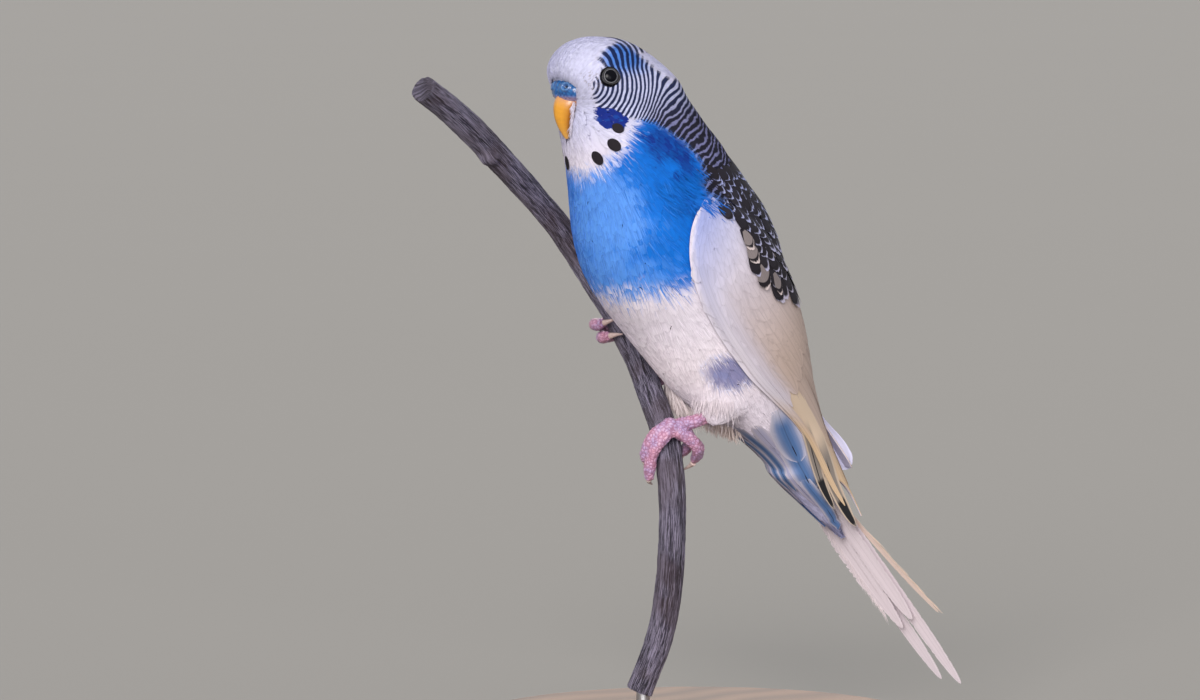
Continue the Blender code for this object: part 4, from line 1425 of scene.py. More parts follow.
# %% Long feathers joined
def join_plumes(name, pattern, made, rng, flip=False, dark=0.0):
    """One mesh from long feathers, each with its points, normals and hues."""
    count, each = len(made), len(pattern.row)
    points, normals, hues = (np.concatenate(part) for part in zip(*made))
    faces = all_faces(pattern.faces, each, count)
    if flip:
        faces = [f[:, ::-1] for f in faces]
    mesh = mesh_of(name, points, faces)
    soften(mesh, normals, PLUME_SOFTNESS)
    chance = np.repeat(rng.random(count), each)
    vane = np.stack((np.tile(pattern.across, count), np.tile(pattern.along, count), chance), axis=1)
    shaft = np.tile(np.where(np.abs(pattern.across) < 0.01, dark, 0.0), count)
    dress(mesh, vane, hues, np.zeros((len(points), 3)), shaft)
    add_map(mesh, "OFBake", np.concatenate([strips(pattern, k, count) for k in range(count)]))
    return mesh


# %% [markdown]
# ## Wings
#
# The shell closes the wing. Over it lie the flight feathers: the long primaries make the tip, the
# secondaries lie over them, and rows of coverts hide the quills. The innermost feather of each row
# lies on top, as in the living bird. White at the bend, they turn cream towards the back.

# %% Flight feathers
FLIGHT = {  # root row and share, tip row and share, half width, height
    "left": (
        ((4.4, 0.23), (10.5, 0.45), 2.0, 0.10), ((4.5, 0.31), (12.1, 0.90), 2.0, 0.13),
        ((4.6, 0.40), (11.2, 0.84), 2.7, 0.16), ((4.7, 0.48), (10.4, 0.89), 2.8, 0.19),
        ((4.6, 0.55), (9.7, 0.92), 2.9, 0.22), ((4.4, 0.62), (9.0, 0.94), 3.0, 0.25),
        ((4.2, 0.70), (8.4, 0.95), 3.0, 0.28), ((4.0, 0.76), (7.7, 0.95), 3.0, 0.31),
        ((3.8, 0.82), (7.0, 0.94), 2.8, 0.34),
    ),
    "right": (
        ((4.2, 0.10), (13.95, 0.50), 3.2, 0.02), ((4.3, 0.20), (13.2, 0.60), 3.2, 0.08),
        ((4.4, 0.30), (12.4, 0.74), 3.1, 0.14), ((4.6, 0.40), (11.5, 0.84), 3.0, 0.20),
        ((4.7, 0.48), (10.7, 0.89), 2.9, 0.26), ((4.6, 0.55), (10.0, 0.92), 2.9, 0.32),
        ((4.4, 0.62), (9.1, 0.94), 3.0, 0.38), ((4.2, 0.70), (8.4, 0.95), 3.0, 0.42),
        ((4.0, 0.76), (7.7, 0.95), 3.0, 0.46), ((3.8, 0.82), (7.0, 0.94), 2.8, 0.50),
    ),
}
COVERTS = (
    ((3.2, 0.14), (8.4, 0.12), 2.2, 0.24), ((3.2, 0.24), (8.2, 0.24), 2.5, 0.26),
    ((3.1, 0.36), (7.8, 0.35), 2.6, 0.28), ((3.0, 0.44), (7.4, 0.44), 2.7, 0.30),
    ((2.9, 0.52), (7.0, 0.53), 2.7, 0.32), ((2.8, 0.60), (6.6, 0.62), 2.7, 0.34),
    ((2.9, 0.67), (6.2, 0.70), 2.5, 0.34), ((3.4, 0.73), (6.1, 0.78), 2.1, 0.34),
)
EDGE_FEATHERS = (
    ((2.6, 0.20), (8.6, 0.11), 0.9, 0.42), ((5.6, 0.06), (12.6, 0.04), 0.8, 0.46),
    ((1.8, 0.09), (9.0, 0.05), 0.95, 0.60),
)
FLIGHT_PLUME = Plume(34)


# %% Places on a wing
wing_grid_row = np.linspace(0, WING_END, 140)
wing_grid_share = np.linspace(0, 1, 41)
wing_trees = {}
for side in SIGN:
    spots = on_wing(side, wing_grid_row[:, None], wing_grid_share[None, :], -WING_BED)
    wing_trees[side] = tree_of(spots.reshape(-1, 3))


def wing_place(side, points):
    """The row and share of the nearest place on a wing."""
    found = np.array([wing_trees[side].find(p)[1] for p in points.tolist()])
    return wing_grid_row[found // len(wing_grid_share)], wing_grid_share[found % len(wing_grid_share)]


# %% One wing feather
def wing_hue(row, share):
    """White at the bend and front edge, cream lower down and at the back."""
    row, share = np.broadcast_arrays(row, share)
    warm = ease(row + 2.2 * share, 3.4, 8.0) * np.maximum(ease(share, 0.05, 0.28), ease(row, 7.5, 10.0))
    lilac = (1 - ease(row + share * 4.0, 2.0, 7.0)) * ease(share + row * 0.01, 0.02, 0.12)
    lilac = np.maximum(lilac, 0.24 * (1 - ease(row, 9.0, 12.0)) * ease(share, 0.04, 0.16))
    return np.stack((lilac, np.full(row.shape, -1.0), warm), axis=-1)


def wing_feather(side, pattern, root, tip, half, height, rng, curve=1.3):
    """A flight feather or covert along a path over a wing."""
    s = np.linspace(0, 1, pattern.last + 1)
    row = root[0] + (tip[0] - root[0]) * s
    share = root[1] + (tip[1] - root[1]) * s**curve
    path = on_wing(side, row, share)
    ahead = unit(np.gradient(path, axis=0))
    normal = unit(np.cross(ahead, on_wing(side, row, share + 0.02) - on_wing(side, row, share - 0.02)))
    normal *= SIGN[side]
    normal *= np.sign(np.sum(normal * (path - form_middle), axis=1))[:, None]
    across = unit(np.cross(normal, ahead)) * SIGN[side]
    across *= np.sign(np.sum(across * (on_wing(side, row, share + 0.02) - path), axis=1))[:, None]
    wide = half * outline(s, 0.5, 0.3, 0.28, 2.2)
    rise = height - 0.5 * (1 - ease(s, 0.0, 0.5))
    points, up = long_feather(
        pattern, path, across, normal, wide * 0.8, wide * 1.1, rng, 0.05, 0.10, wing_beds[side], rise
    )
    return points, up, wing_hue(*wing_place(side, points))


# %% The wings laid
wing_look = plumage("wing_plumage", streak=0.7, fineness=22.0, varied=0.10, edged=0.14)
rng = np.random.default_rng(23)
for side in SIGN:
    shell = wing_shells[side]
    cells = np.tile(np.stack(np.broadcast_arrays(wing_row[side], wing_share), axis=-1).reshape(-1, 2), (2, 1))
    vane = np.stack((cells[:, 1] * 4 - 2, cells[:, 0] / WING_END, np.full(len(cells), 0.5)), axis=1)
    hue = wing_hue(cells[:, 0], cells[:, 1])
    # the inner face is tinted bluish: painted shade, as it shows only in shadow behind the rump
    hue[: len(cells) // 2] = (0.45, -1.0, 0.0)  # the inner face is bluish
    bend = ease(cells[:, 0], 0.9, 1.3)  # above it the breast's azure feathers cover the shell
    hue[bend < 0.5] = (1.0, 0.5, 0.0)
    covered = ease(cells[:, 1], 0.80, 0.86) * (1 - ease(cells[:, 0], 5.6, 6.4)) * bend
    dress(shell, vane, hue, np.zeros((len(cells), 3)), covered * 2.0)  # black under the mantle
    piece(f"wing_base_{side}", shell, wing_look, "wing_plumage", f"wing_{side}")
    made = [wing_feather(side, FLIGHT_PLUME, *f, rng) for f in FLIGHT[side] + COVERTS + EDGE_FEATHERS]
    mesh = join_plumes(f"wing_feathers_{side}", FLIGHT_PLUME, made, rng, side == "right")
    piece(f"wing_feathers_{side}", mesh, wing_look, "wing_plumage")

# %% [markdown]
# ## Small coverts
#
# The bend of the wing is covered with small soft feathers. They are strewn over the wing's bed in
# the way of the body's own, and lie along the wing.

# %% Small coverts
COVERT_SPACING = (0.9, 2.3)
COVERT_LENGTH = (3.4, 8.0)
COVERT_SPAN = 6.4  # rows of the wing that they reach
LIE_STEP = 0.05

for side in SIGN:
    bed = wing_beds[side]

    def covert_spacing(points):
        row, share = wing_place(side, points)
        gap = blend(ease(row, 0.5, COVERT_SPAN), *COVERT_SPACING)
        shown = (share > 0.05) & ((share < 0.84) | (row > 5.0))  # the mantle covers the rest
        return np.where(shown & (row < COVERT_SPAN - 2.0 * (0.5 - share) ** 2), gap, 0.0)

    spots, normals = strew(bed, covert_spacing, rng)
    row, share = wing_place(side, spots)
    ways = flat_on(unit(on_wing(side, row + LIE_STEP, share) - on_wing(side, row - LIE_STEP, share)), normals)
    ways = turned(ways, normals, rng.normal(0, 4, len(spots)))
    count = len(spots)
    size = ease(row, 0.5, COVERT_SPAN)
    length = blend(size, *COVERT_LENGTH) * rng.uniform(0.9, 1.1, count)
    raised = blend(size, 0.40, 0.36) + rng.uniform(-0.02, 0.02, count)

    def covert_hue(points):
        return wing_hue(*wing_place(side, points))

    mesh = lay_vanes(
        f"coverts_{side}", bed, spots, normals, ways, length, length * 0.32, raised - 0.025 * length, raised,
        covert_hue, rng, BODY_VANE, cup=0.0, fringe=0.03,
    )
    piece(f"coverts_{side}", mesh, wing_look, "wing_plumage")

# %% [markdown]
# ## Mantle
#
# Black feathers with pale rims lie over the shoulders and the top of the wings, and a few smoky grey
# ones beside them. They are larger than those of the neck and are laid on a surface that runs over
# the back and both wings.

# %% Mantle
MANTLE_FROM = (  # place, angle of the lowest tips of black feathers
    (9.4, 105), (10.0, 97), (10.5, 88), (11.3, 95), (12.5, 96), (13.5, 102), (14.1, 114), (14.6, 150),
)
MANTLE_SPAN = (8.5, 14.4)
MANTLE_SPACING = (1.75, 2.5)
MANTLE_LENGTH = (5.0, 7.2)
MANTLE_RISE = (0.45, 0.95)
STEEP_WAY = np.array((0.52, 0.0, -0.85))
SMOKY_FEATHERS = (  # row and share of the middle on the wing, length, half width
    (3.15, 0.62, 5.0, 1.5), (3.6, 0.58, 5.4, 1.75), (4.4, 0.54, 6.6, 2.1), (4.8, 0.62, 5.6, 1.3),
)


def mantle_spacing(points):
    """Wide enough for large feathers, behind the line of the lowest tips."""
    place, angle = body_place(points)
    ahead = table(MANTLE_FROM, place + 0.75) - 2
    within = (np.abs(angle) > ahead) & (place > MANTLE_SPAN[0]) & (place < MANTLE_SPAN[1] - 0.8)
    return np.where(within, blend(ease(place, *MANTLE_SPAN), *MANTLE_SPACING), 0.0)


spots, normals = strew(draped, mantle_spacing, rng)
place, angle = body_place(spots)
count = len(spots)
size = ease(place, *MANTLE_SPAN)
length = blend(size, *MANTLE_LENGTH) * rng.uniform(0.92, 1.08, count)
ways = blend(ease(place, 10.8, 12.2)[:, None], lie(spots, normals), flat_on(STEEP_WAY, normals))
ways = turned(unit(ways), normals, rng.normal(0, 6, count))
dark = rng.uniform(0.97, 1.0, count)
raised = blend(ease(place, 9.2, 10.8), *MANTLE_RISE) + rng.uniform(-0.06, 0.06, count)
hue = np.stack((0.95 - 0.5 * size, np.full(count, -1.0), 0.6 * size), axis=1)
half = length * blend(size, 0.27, 0.25)
print("mantle feathers:", count)

# %% Smoky feathers
smoky = np.array([(*f, side) for side in SIGN.values() for f in SMOKY_FEATHERS])
tips = np.array([on_wing("left" if f[-1] > 0 else "right", f[0], f[1]) for f in smoky])
tips, tip_normals = draped.drop(tips)
tip_ways = turned(flat_on(STEEP_WAY, tip_normals), tip_normals, rng.normal(0, 4, len(smoky)))
spots = np.concatenate((spots, tips - tip_ways * smoky[:, 2:3] * 0.6))
normals, ways = np.concatenate((normals, tip_normals)), np.concatenate((ways, tip_ways))
length, half = np.concatenate((length, smoky[:, 2])), np.concatenate((half, smoky[:, 3]))
raised = np.concatenate((raised, np.full(len(smoky), 1.15) + smoky[:, 1] * 0.1))
dark = np.concatenate((dark, np.full(len(smoky), 0.64)))
hue = np.concatenate((hue, np.tile((0.10, -1.0, 0.5), (len(smoky), 1))))
mesh = lay_vanes(
    "mantle", draped, spots, normals, ways, length, half, raised - 0.07 * length, raised, hue, rng,
    LARGE_VANE, cup=0.05, fringe=0.03, dark=dark,
)
piece("mantle", mesh, plume_look, "wing_plumage")

# %% [markdown]
# ## Shoulder feathers
#
# Breast and neck feathers reach over the bend of the wing and hide where it starts. They carry the
# bird's own markings. Single locks make them, so that the edge they draw on the wing is soft.

# %% Shoulder feathers
SHOULDER_PLACES = (8.6, 9.7)
SHOULDER_ANGLES = (62.0, 98.0)
SHOULDER_TUFT = 9  # locks at each spot


def shoulder_spacing(points):
    place, angle = body_place(points)
    side = np.abs(angle)
    within = (place > SHOULDER_PLACES[0]) & (place < SHOULDER_PLACES[1] + ease(side, 75, 88) * 0.4)
    return np.where(within & (side > SHOULDER_ANGLES[0]) & (side < SHOULDER_ANGLES[1]), 1.0, 0.0)


spots, normals = strew(draped, shoulder_spacing, rng)
ways = turned(lie(spots, normals), normals, rng.normal(0, 6, len(spots)))
jitter = rng.normal(0, 1, len(spots))
length = rng.uniform(3.6, 5.2, len(spots))
again = np.tile(np.arange(len(spots)), SHOULDER_TUFT)
spots = spots[again] + rng.normal(0, 0.6, (len(again), 3))
ways = turned(ways[again], normals[again], rng.normal(0, 7, len(again)))
length = length[again] * rng.uniform(0.6, 1.15, len(again))
raised = rng.uniform(0.45, 0.75, len(again))
mesh = lay_locks(
    "shoulder_locks", draped, spots, normals[again], ways, length, np.full(len(again), 0.11),
    raised - 0.09 * length, raised, jitter[again], rng,
)
piece("shoulder_locks", mesh, lock_look, "breast_plumage")

# %% [markdown]
# ## The tips of the wings
#
# The two longest feathers of the left wing end beyond the others: ash brown, with a black blade at
# the tip and a pale rim. The right wing's tip shows behind the rump as a round white blade, tinted bluish as
# painted shade.

# %% Wing tip finish
ASH = ((0.13, 0.105, 0.095), (0.34, 0.29, 0.25))
TIP_CREAM = (0.66, 0.51, 0.38)
TIP_BLACK = (0.006, 0.005, 0.007)
BLADE_FROM = 0.865
BLADE_TO = 0.98

tip_look = Look("wing_tip_plumage", Roughness=0.6)
across, along, chance = tip_look.triple("vane")
barbs = tip_look.vector(across * 22.0 + chance * 61.0, along * 1.1, chance * 17.0)
fine = tip_look.noise(barbs, 1.0, 3.0, 0.6)
inner = 1.0 - tip_look.ease(across.size(), 0.60, 0.80)
ashen = tip_look.ease(along, 0.60, 0.72) * (0.35 + inner * 0.65)
shaft = (1.0 - tip_look.ease(across.size(), 0.05, 0.12)) * tip_look.ease(along, 0.70, 0.76)
blade = tip_look.ease(along, BLADE_FROM, BLADE_FROM + 0.02)
blade = blade * (1.0 - tip_look.ease(along, BLADE_TO, BLADE_TO + 0.015)) * inner
tip_colour = tip_look.mix(ashen, TIP_CREAM, tip_look.mix(fine, *ASH))
tip_colour = tip_look.mix(blade.math("MAXIMUM", shaft), tip_colour, TIP_BLACK)
tip_look.feed(Base_Color=tip_colour, Normal=tip_look.bump(fine, 0.03, 0.7))

# %% Wing tips
TIP_FEATHERS = (  # root row and share, tip row and share, half width, height, how late it turns
    ((4.2, 0.20), (12.6, -0.50), 1.6, 0.03, 4.0),
    ((4.3, 0.34), (13.55, -0.15), 1.9, 0.06, 3.0),
)
PADDLE = ((31.6, -6.4, 80.0), (41.6, -6.6, 66.4))  # root and tip
PADDLE_HALF = 2.5
PADDLE_FACING = (-0.60, -0.70, 0.35)

made = [wing_feather("left", FLIGHT_PLUME, *f[:4], rng, f[4]) for f in TIP_FEATHERS]
mesh = join_plumes("wing_tip_left", FLIGHT_PLUME, made, rng)
piece("wing_tip_left", mesh, tip_look.material, "wing_plumage")

s = np.linspace(0, 1, FLIGHT_PLUME.last + 1)
path = np.array(PADDLE[0]) + np.outer(s, np.subtract(PADDLE[1], PADDLE[0]))
ahead = unit(np.gradient(path, axis=0))
facing = np.broadcast_to(unit(np.array(PADDLE_FACING)), path.shape)
aside = unit(np.cross(facing, ahead))
wide = PADDLE_HALF * outline(s, 0.35, 0.7, 0.22, 2.0)
points, _ = long_feather(FLIGHT_PLUME, path, aside, np.cross(ahead, aside), wide, wide, rng, 0.12, 0.15)
# the white blade is tinted bluish lilac: painted shade, as it lies in shadow behind the rump
hue = np.tile((0.5, -1.0, 0.0), (len(points), 1))
made = [(points, np.broadcast_to(facing[0], points.shape), hue)]
mesh = join_plumes("wing_tip_right", FLIGHT_PLUME, made, rng)
piece("wing_tip_right", mesh, wing_look, "wing_plumage")

# %% [markdown]
# ## Undertail coverts
#
# Below the tail's root lie long soft feathers. Most are steel blue with a thin dark shaft and a pale
# rim, and a few are lilac. They are long feathers like those of the wing, but lie on the body.

# %% Undertail coverts
UNDERTAIL_COVERTS = (  # root and tip as place and angle, half width, rise, blue, depth
    ((17.4, 40), (19.2, 26), 2.0, 0.22, 0.60, -1.0),
    ((17.3, 14), (20.3, 6), 1.7, 0.34, 0.95, 2.4),
    ((17.8, 30), (20.9, 20), 1.5, 0.28, 0.70, -1.0),
    ((19.2, 40), (21.9, 40), 1.4, 0.48, 0.95, 2.4),
    ((18.3, 58), (20.4, 42), 3.3, 0.38, 0.95, 2.4),
    ((17.1, 78), (19.3, 54), 3.6, 0.48, 0.95, 2.4),
)
COVERT_PLUME = Plume(22)

made = []
for side, sign in SIGN.items():
    for root, tip, half, height, blue, depth in UNDERTAIL_COVERTS:
        s = np.linspace(0, 1, COVERT_PLUME.last + 1)
        path = on_body(root[0] + (tip[0] - root[0]) * s, sign * (root[1] + (tip[1] - root[1]) * s))
        path, normals = form.drop(path)
        ahead = unit(np.gradient(path, axis=0))
        aside = unit(np.cross(normals, ahead))
        wide = half * outline(s, 0.5, 0.4, 0.4, 2.2)
        rise = height - 0.5 * (1 - ease(s, 0.0, 0.35))
        points, up = long_feather(COVERT_PLUME, path, aside, normals, wide, wide, rng, 0.05, 0.3, form, rise)
        rim = np.maximum(ease(np.abs(COVERT_PLUME.across), 0.3, 1.0), 1 - ease(COVERT_PLUME.along, 0.0, 0.35))
        hue = np.stack((blue * (1 - 0.75 * rim), np.full(len(rim), depth), np.zeros(len(rim))), axis=1)
        made.append((points, up, hue))
mesh = join_plumes("undertail_coverts", COVERT_PLUME, made, rng, dark=0.45)
facing = np.mean(np.sum(made[0][1] * normals_of(mesh)[: len(made[0][1])], axis=1))
print("undertail coverts face", "out" if facing > 0 else "in")
piece("undertail_coverts", mesh, plume_look, "tail_plumage")

# %% [markdown]
# ## Fringes and bristles
#
# Loose cream locks hang behind the left thigh and over the right one. White bristles lie on the
# sides of the bill, and a few short dark ones stand between the cere and the eye.

# %% Fringes
FRINGE_LIT = np.array((-0.75, -0.8, 0.45))  # loose barbs scatter the light as if they faced this way
FRINGE_SPREAD = 0.2


def fan(name, roots, normals, ways, length, half, hue, rng):
    """Loose locks that leave the coat."""
    count = len(roots)
    normals = unit(normals * 0.8 + FRINGE_LIT)
    sunk, raised = np.full(count, -FRINGE_SPREAD), np.full(count, FRINGE_SPREAD)
    hues = np.tile(hue, (count, 1))
    mesh = lay_locks(name, None, roots, normals, unit(ways), length, half, sunk, raised, hues, rng)
    piece(name, mesh, lock_look, "belly_plumage")


def hanging(count, forward, aside, fall, rng):
    """Ways that hang down, with a mean and a spread forward and aside."""
    return np.stack((rng.normal(*forward, count), rng.normal(*aside, count), np.full(count, fall)), axis=1)


count = 260
turn = rng.random(count)
places = on_body(17.05 + turn * 0.85 + rng.normal(0, 0.08, count), rng.uniform(-44, 8, count))
places, normals = form.drop(places)
ways = np.stack((-0.55 + turn, rng.normal(-0.15, 0.12, count), np.full(count, -1.0)), axis=1)
length, half = rng.uniform(2.0, 3.9, count), rng.uniform(0.09, 0.15, count)
fan("vent_fringe", places, normals, ways, length, half, (0.0, 0.0, 0.5), rng)

for side, sign in SIGN.items():
    low, high = (np.array(v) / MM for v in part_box(f"shank_{side}"))
    count = 420
    knee = np.array((high[0], (low[1] + high[1]) / 2, high[2] if side == "left" else low[2] + 1.5))
    places = knee + rng.uniform(-1, 1, (count, 3)) * (2.8, 3.6, 1.2) + (1.3, -sign * 0.8, 2.2)
    places, normals = form.drop(places)
    ways = hanging(count, (-0.2, 0.16), (-0.22, 0.14), -1.0, rng)
    length, half = rng.uniform(1.6, 3.8, count), rng.uniform(0.05, 0.09, count)
    fan(f"thigh_cuff_{side}", places, normals, ways, length, half, (0.16, -1.0, 0.35), rng)

count = 700
places = middle_of("thigh_right") + rng.uniform(-1, 1, (count, 3)) * (3.6, 4.4, 2.2) + (-1.8, -3.6, 2.6)
places, normals = form.drop(places)
ways = hanging(count, (0.30, 0.16), (-0.15, 0.14), -0.95, rng)
length, half = rng.uniform(3.6, 7.4, count), rng.uniform(0.08, 0.14, count)
fan("thigh_fringe", places, normals, ways, length, half, (0.0, 0.0, 0.30), rng)

# %% Bristles of the face
BRISTLE_WAY = (0.55, -0.84)  # forward and down

face = [solid_copy(name) for name in ("head", "bill_upper", "bill_lower", "cere")]
muzzle = Hide(remeshed("muzzle", face, 0.4, 4))
count = 420
down = rng.random(count)
ahead = 10.9 + 0.9 * rng.random(count)
aside = np.where(rng.random(count) < 0.5, 1, -1) * (3.7 - 1.5 * down**1.3)
roots, normals = muzzle.drop(from_head(ahead, aside, 59.3 - 6.8 * down))
ways = flat_on(forward * BRISTLE_WAY[0] + np.array((0.0, 0.0, BRISTLE_WAY[1])), normals)
ways = turned(ways, normals, rng.normal(0, 9, count))
mesh = lay_locks(
    "bill_bristles", muzzle, roots, normals, ways,
    rng.uniform(1.3, 2.3, count), rng.uniform(0.05, 0.085, count),
    np.full(count, 0.1), rng.uniform(0.3, 0.55, count), np.tile((0.2, -1.0, 0.0), (count, 1)), rng,
)
piece("bill_bristles", mesh, lock_look, "head_plumage")

count = 90
spread_at = rng.random((count, 2))
signs = np.where(rng.random(count) < 0.5, 1, -1)
places, normals = form.drop(on_body(3.0 + 1.2 * spread_at[:, 0], signs * (35 + 24 * spread_at[:, 1])))
ways = turned(lie(places, normals), normals, rng.normal(0, 25, count))
mesh = lay_locks(
    "lore_bristles", form, places, normals, ways,
    rng.uniform(0.3, 0.9, count), rng.uniform(0.03, 0.06, count),
    np.full(count, 0.05), np.full(count, 0.16), np.tile((0.1, 0.5, 0.6), (count, 1)), rng, dark=0.55,
)
piece("lore_bristles", mesh, lock_look, "head_plumage")

# %% [markdown]
# ## Throat spots and cheek patches
#
# Six round black feathers lie on the bib, three on each side, and a ragged patch of violet-blue
# feathers on each cheek. These are single feathers, placed one by one.

# %% Throat spots
THROAT_SPOTS = (  # place, angle and size
    (6.2, 57, 0.82), (6.95, 47, 1.0), (7.46, 27, 1.0), (7.72, -14, 0.95), (7.3, -42, 1.0), (6.5, -60, 0.85),
)
SPOT_LENGTH = 3.5
SPOT_HALF = 1.3

spot_places, spot_angles, spot_sizes = np.array(THROAT_SPOTS).T
spots, normals = form.drop(on_body(spot_places, spot_angles))
ways = lie(spots, normals)
spots = spots - ways * (SPOT_LENGTH * spot_sizes * 0.5)[:, None]
count = len(spots)
mesh = lay_vanes(
    "throat_spots", form, spots, normals, ways, SPOT_LENGTH * spot_sizes, SPOT_HALF * spot_sizes,
    np.full(count, 0.10), np.full(count, 0.24), np.zeros((count, 3)), rng,
    Oval(13, 11), cup=0.1, fringe=0.02, dark=np.full(count, 2.0),
)
piece("throat_spots", mesh, plume_look, "breast_plumage")


# %% Cheek patches
CHEEK_PATCH = ((5.15, 39), (5.15, 50), (5.5, 62), (5.8, 69), (6.15, 62), (6.15, 51), (5.9, 43))


def inside_outline(spots, corners):
    """Whether points of a plane lie inside a closed outline."""
    corners = np.array(corners, float)
    found = np.zeros(len(spots), bool)
    for (x1, y1), (x2, y2) in zip(corners, np.roll(corners, -1, axis=0)):
        crosses = (y1 > spots[:, 1]) != (y2 > spots[:, 1])
        where = (x2 - x1) * (spots[:, 1] - y1) / (y2 - y1 + 1e-9) + x1
        found ^= crosses & (spots[:, 0] < where)
    return found


def patch_spacing(points):
    place, angle = body_place(points)
    return np.where(inside_outline(np.stack((place, np.abs(angle)), axis=1), CHEEK_PATCH), 0.5, 0.0)


spots, normals = strew(form, patch_spacing, rng)
ways = turned(lie(spots, normals), normals, rng.normal(0, 10, len(spots)))
count = len(spots)
spots = spots - ways * 1.6
length = rng.uniform(2.2, 3.0, count)
hue = np.stack((np.ones(count), rng.uniform(1.0, 1.7, count), np.zeros(count)), axis=1)
raised = rng.uniform(0.10, 0.20, count)
mesh = lay_vanes(
    "cheek_patches", form, spots, normals, ways, length, length * 0.24, raised - 0.1 * length, raised,
    hue, rng, BODY_VANE, fringe=0.1,
)
piece("cheek_patches", mesh, plume_look, "head_plumage")

# %% [markdown]
# ## Tail
#
# Six tail feathers stay folded under each other, the two middle ones much the longest. They are
# nearly white, with fine shafts and ragged edges. Long coverts run down over their roots below.

# %% Tail
TAIL_FROM = (58.4, -25.0)
TAIL_TIP = (110.5, -84.8)
TAIL_LAYER = 0.95
TAIL_FEATHERS = {  # start, end, middle at start and end, half width, layer, point
    "tail_middle_left": (3.0, 79.3, -3.05, -3.15, 2.9, 0, 0.30),
    "tail_middle_right": (3.0, 78.6, 3.05, 3.15, 2.9, 0, 0.30),
    "tail_inner_left": (4.0, 56.0, -2.95, -3.1, 3.1, -1.12, 0.26),
    "tail_inner_right": (4.0, 60.0, 2.95, 3.1, 3.1, -1, 0.26),
    "tail_outer_left": (5.0, 54.5, -2.4, -12.2, 1.15, 1, 0.30),
    "tail_outer_right": (5.0, 46.0, 2.4, 5.0, 2.2, 1, 0.26),
}
TAIL_PLUME = Plume(110)
TAIL_LIT = (-0.5, -0.45, 0.5)  # the webs curve, so that their undersides catch the light from here
TAIL_BULGE = (0.45, 0.9)  # between these shares the ragged outer web of the inner right one is widest
TAIL_OUTER_HUE = (0.12, -1.0, 0.75)
TAIL_HUE = (0.16, -1.0, 0.34)
Y_WAY = np.array((0.0, 1.0, 0.0))

tail_from = np.array((TAIL_FROM[0], 0.0, TAIL_FROM[1])) + BIRD_AT
tail_along = unit(np.array((TAIL_TIP[0] - TAIL_FROM[0], 0.0, TAIL_TIP[1] - TAIL_FROM[1])))
tail_up = np.array((-tail_along[2], 0.0, tail_along[0]))


def on_tail(along, across, level):
    along, across, level = (np.asarray(v, float)[..., None] for v in (along, across, level))
    return tail_from + tail_along * along + Y_WAY * across + tail_up * level


def tail_spine(name, s):
    """How far along and across the tail the middle of a feather runs. The outer ones bend."""
    start, end, root, tip = TAIL_FEATHERS[name][:4]
    bent = s**1.6 if "outer" in name else s
    return start + (end - start) * s, root + (tip - root) * bent


# %% Tail feathers
tail_lit = unit(-tail_up + np.array(TAIL_LIT))
tail_look = plumage("tail_plumage", streak=0.9, fineness=26.0, varied=0.08, edged=0.10)
rng = np.random.default_rng(31)
for name, (*_, half, layer, point) in TAIL_FEATHERS.items():
    s = np.linspace(0, 1, TAIL_PLUME.last + 1)
    path = on_tail(*tail_spine(name, s), np.full(len(s), layer * TAIL_LAYER))
    ahead = unit(np.gradient(path, axis=0))
    up = np.broadcast_to(tail_up, path.shape)
    across = np.cross(ahead, up) * -1
    across *= np.sign(across[:, 1])[:, None]
    wide = wider = half * outline(s, 0.45, 0.35, point, 2.0)
    if name == "tail_inner_right":
        first, last = TAIL_BULGE
        wider = wide * (1 + 0.65 * ease(s, first - 0.2, first + 0.1) * (1 - ease(s, last - 0.2, last)))
    ragged = 0.7 if name == "tail_inner_right" else 0.4
    points, _ = long_feather(TAIL_PLUME, path, across, up, wide, wider, rng, 0.1, ragged)
    hue = TAIL_OUTER_HUE if name == "tail_outer_left" else TAIL_HUE
    made = [(points, np.broadcast_to(tail_lit, points.shape), np.tile(hue, (len(points), 1)))]
    mesh = join_plumes(f"{name}_vane", TAIL_PLUME, made, rng)
    piece(f"{name}_vane", mesh, tail_look, "tail_plumage", name)


# %% Parted barbs
def barbs_along(name, feather, span, count, reach, rng, warm):
    """Barbs that have parted from the edge of a tail feather and stand off it."""
    half, layer = TAIL_FEATHERS[feather][4:6]
    outer = np.sign(TAIL_FEATHERS[feather][2])
    along, across = tail_spine(feather, rng.uniform(*span, count))
    across = across + outer * half * rng.uniform(0.75, 1.0, count)
    roots = on_tail(along, across, layer * TAIL_LAYER + rng.uniform(-0.05, 0.1, count))
    ways = unit(tail_along + Y_WAY * (outer * rng.uniform(0.15, 0.5, count))[:, None])
    lit = np.broadcast_to(tail_lit, roots.shape)
    length, half, level = rng.uniform(*reach, count), rng.uniform(0.05, 0.10, count), np.zeros(count)
    hue = np.tile((0.0, 0.0, warm), (count, 1))
    mesh = lay_locks(name, None, roots, lit, ways, length, half, level, level, hue, rng)
    piece(name, mesh, lock_look, "tail_plumage")


barbs_along("tail_barbs", "tail_inner_right", (0.25, 0.92), 260, (2.5, 5.5), rng, 0.22)
barbs_along("tail_barbs_outer", "tail_outer_left", (0.45, 0.93), 90, (3.0, 6.0), rng, 0.7)

# %% [markdown]
# ## Eyes
#
# The eye of a budgerigar is a dark ball with a thin pale iris, set in bare grey skin. Only a cap of
# it shows. The ball is turned from arrays, so that each point can keep its distance from the axis,
# and the finish reads the pupil, iris and rim from that. A low roughness gives the highlight.

# %% Eyes
EYE_RINGS = 48
EYE_SIDES = 64
PUPIL = 1.44
IRIS = 1.55
PUPIL_BLACK = (0.003, 0.003, 0.005)
IRIS_GREYS = ((0.30, 0.30, 0.33), (0.55, 0.55, 0.58))

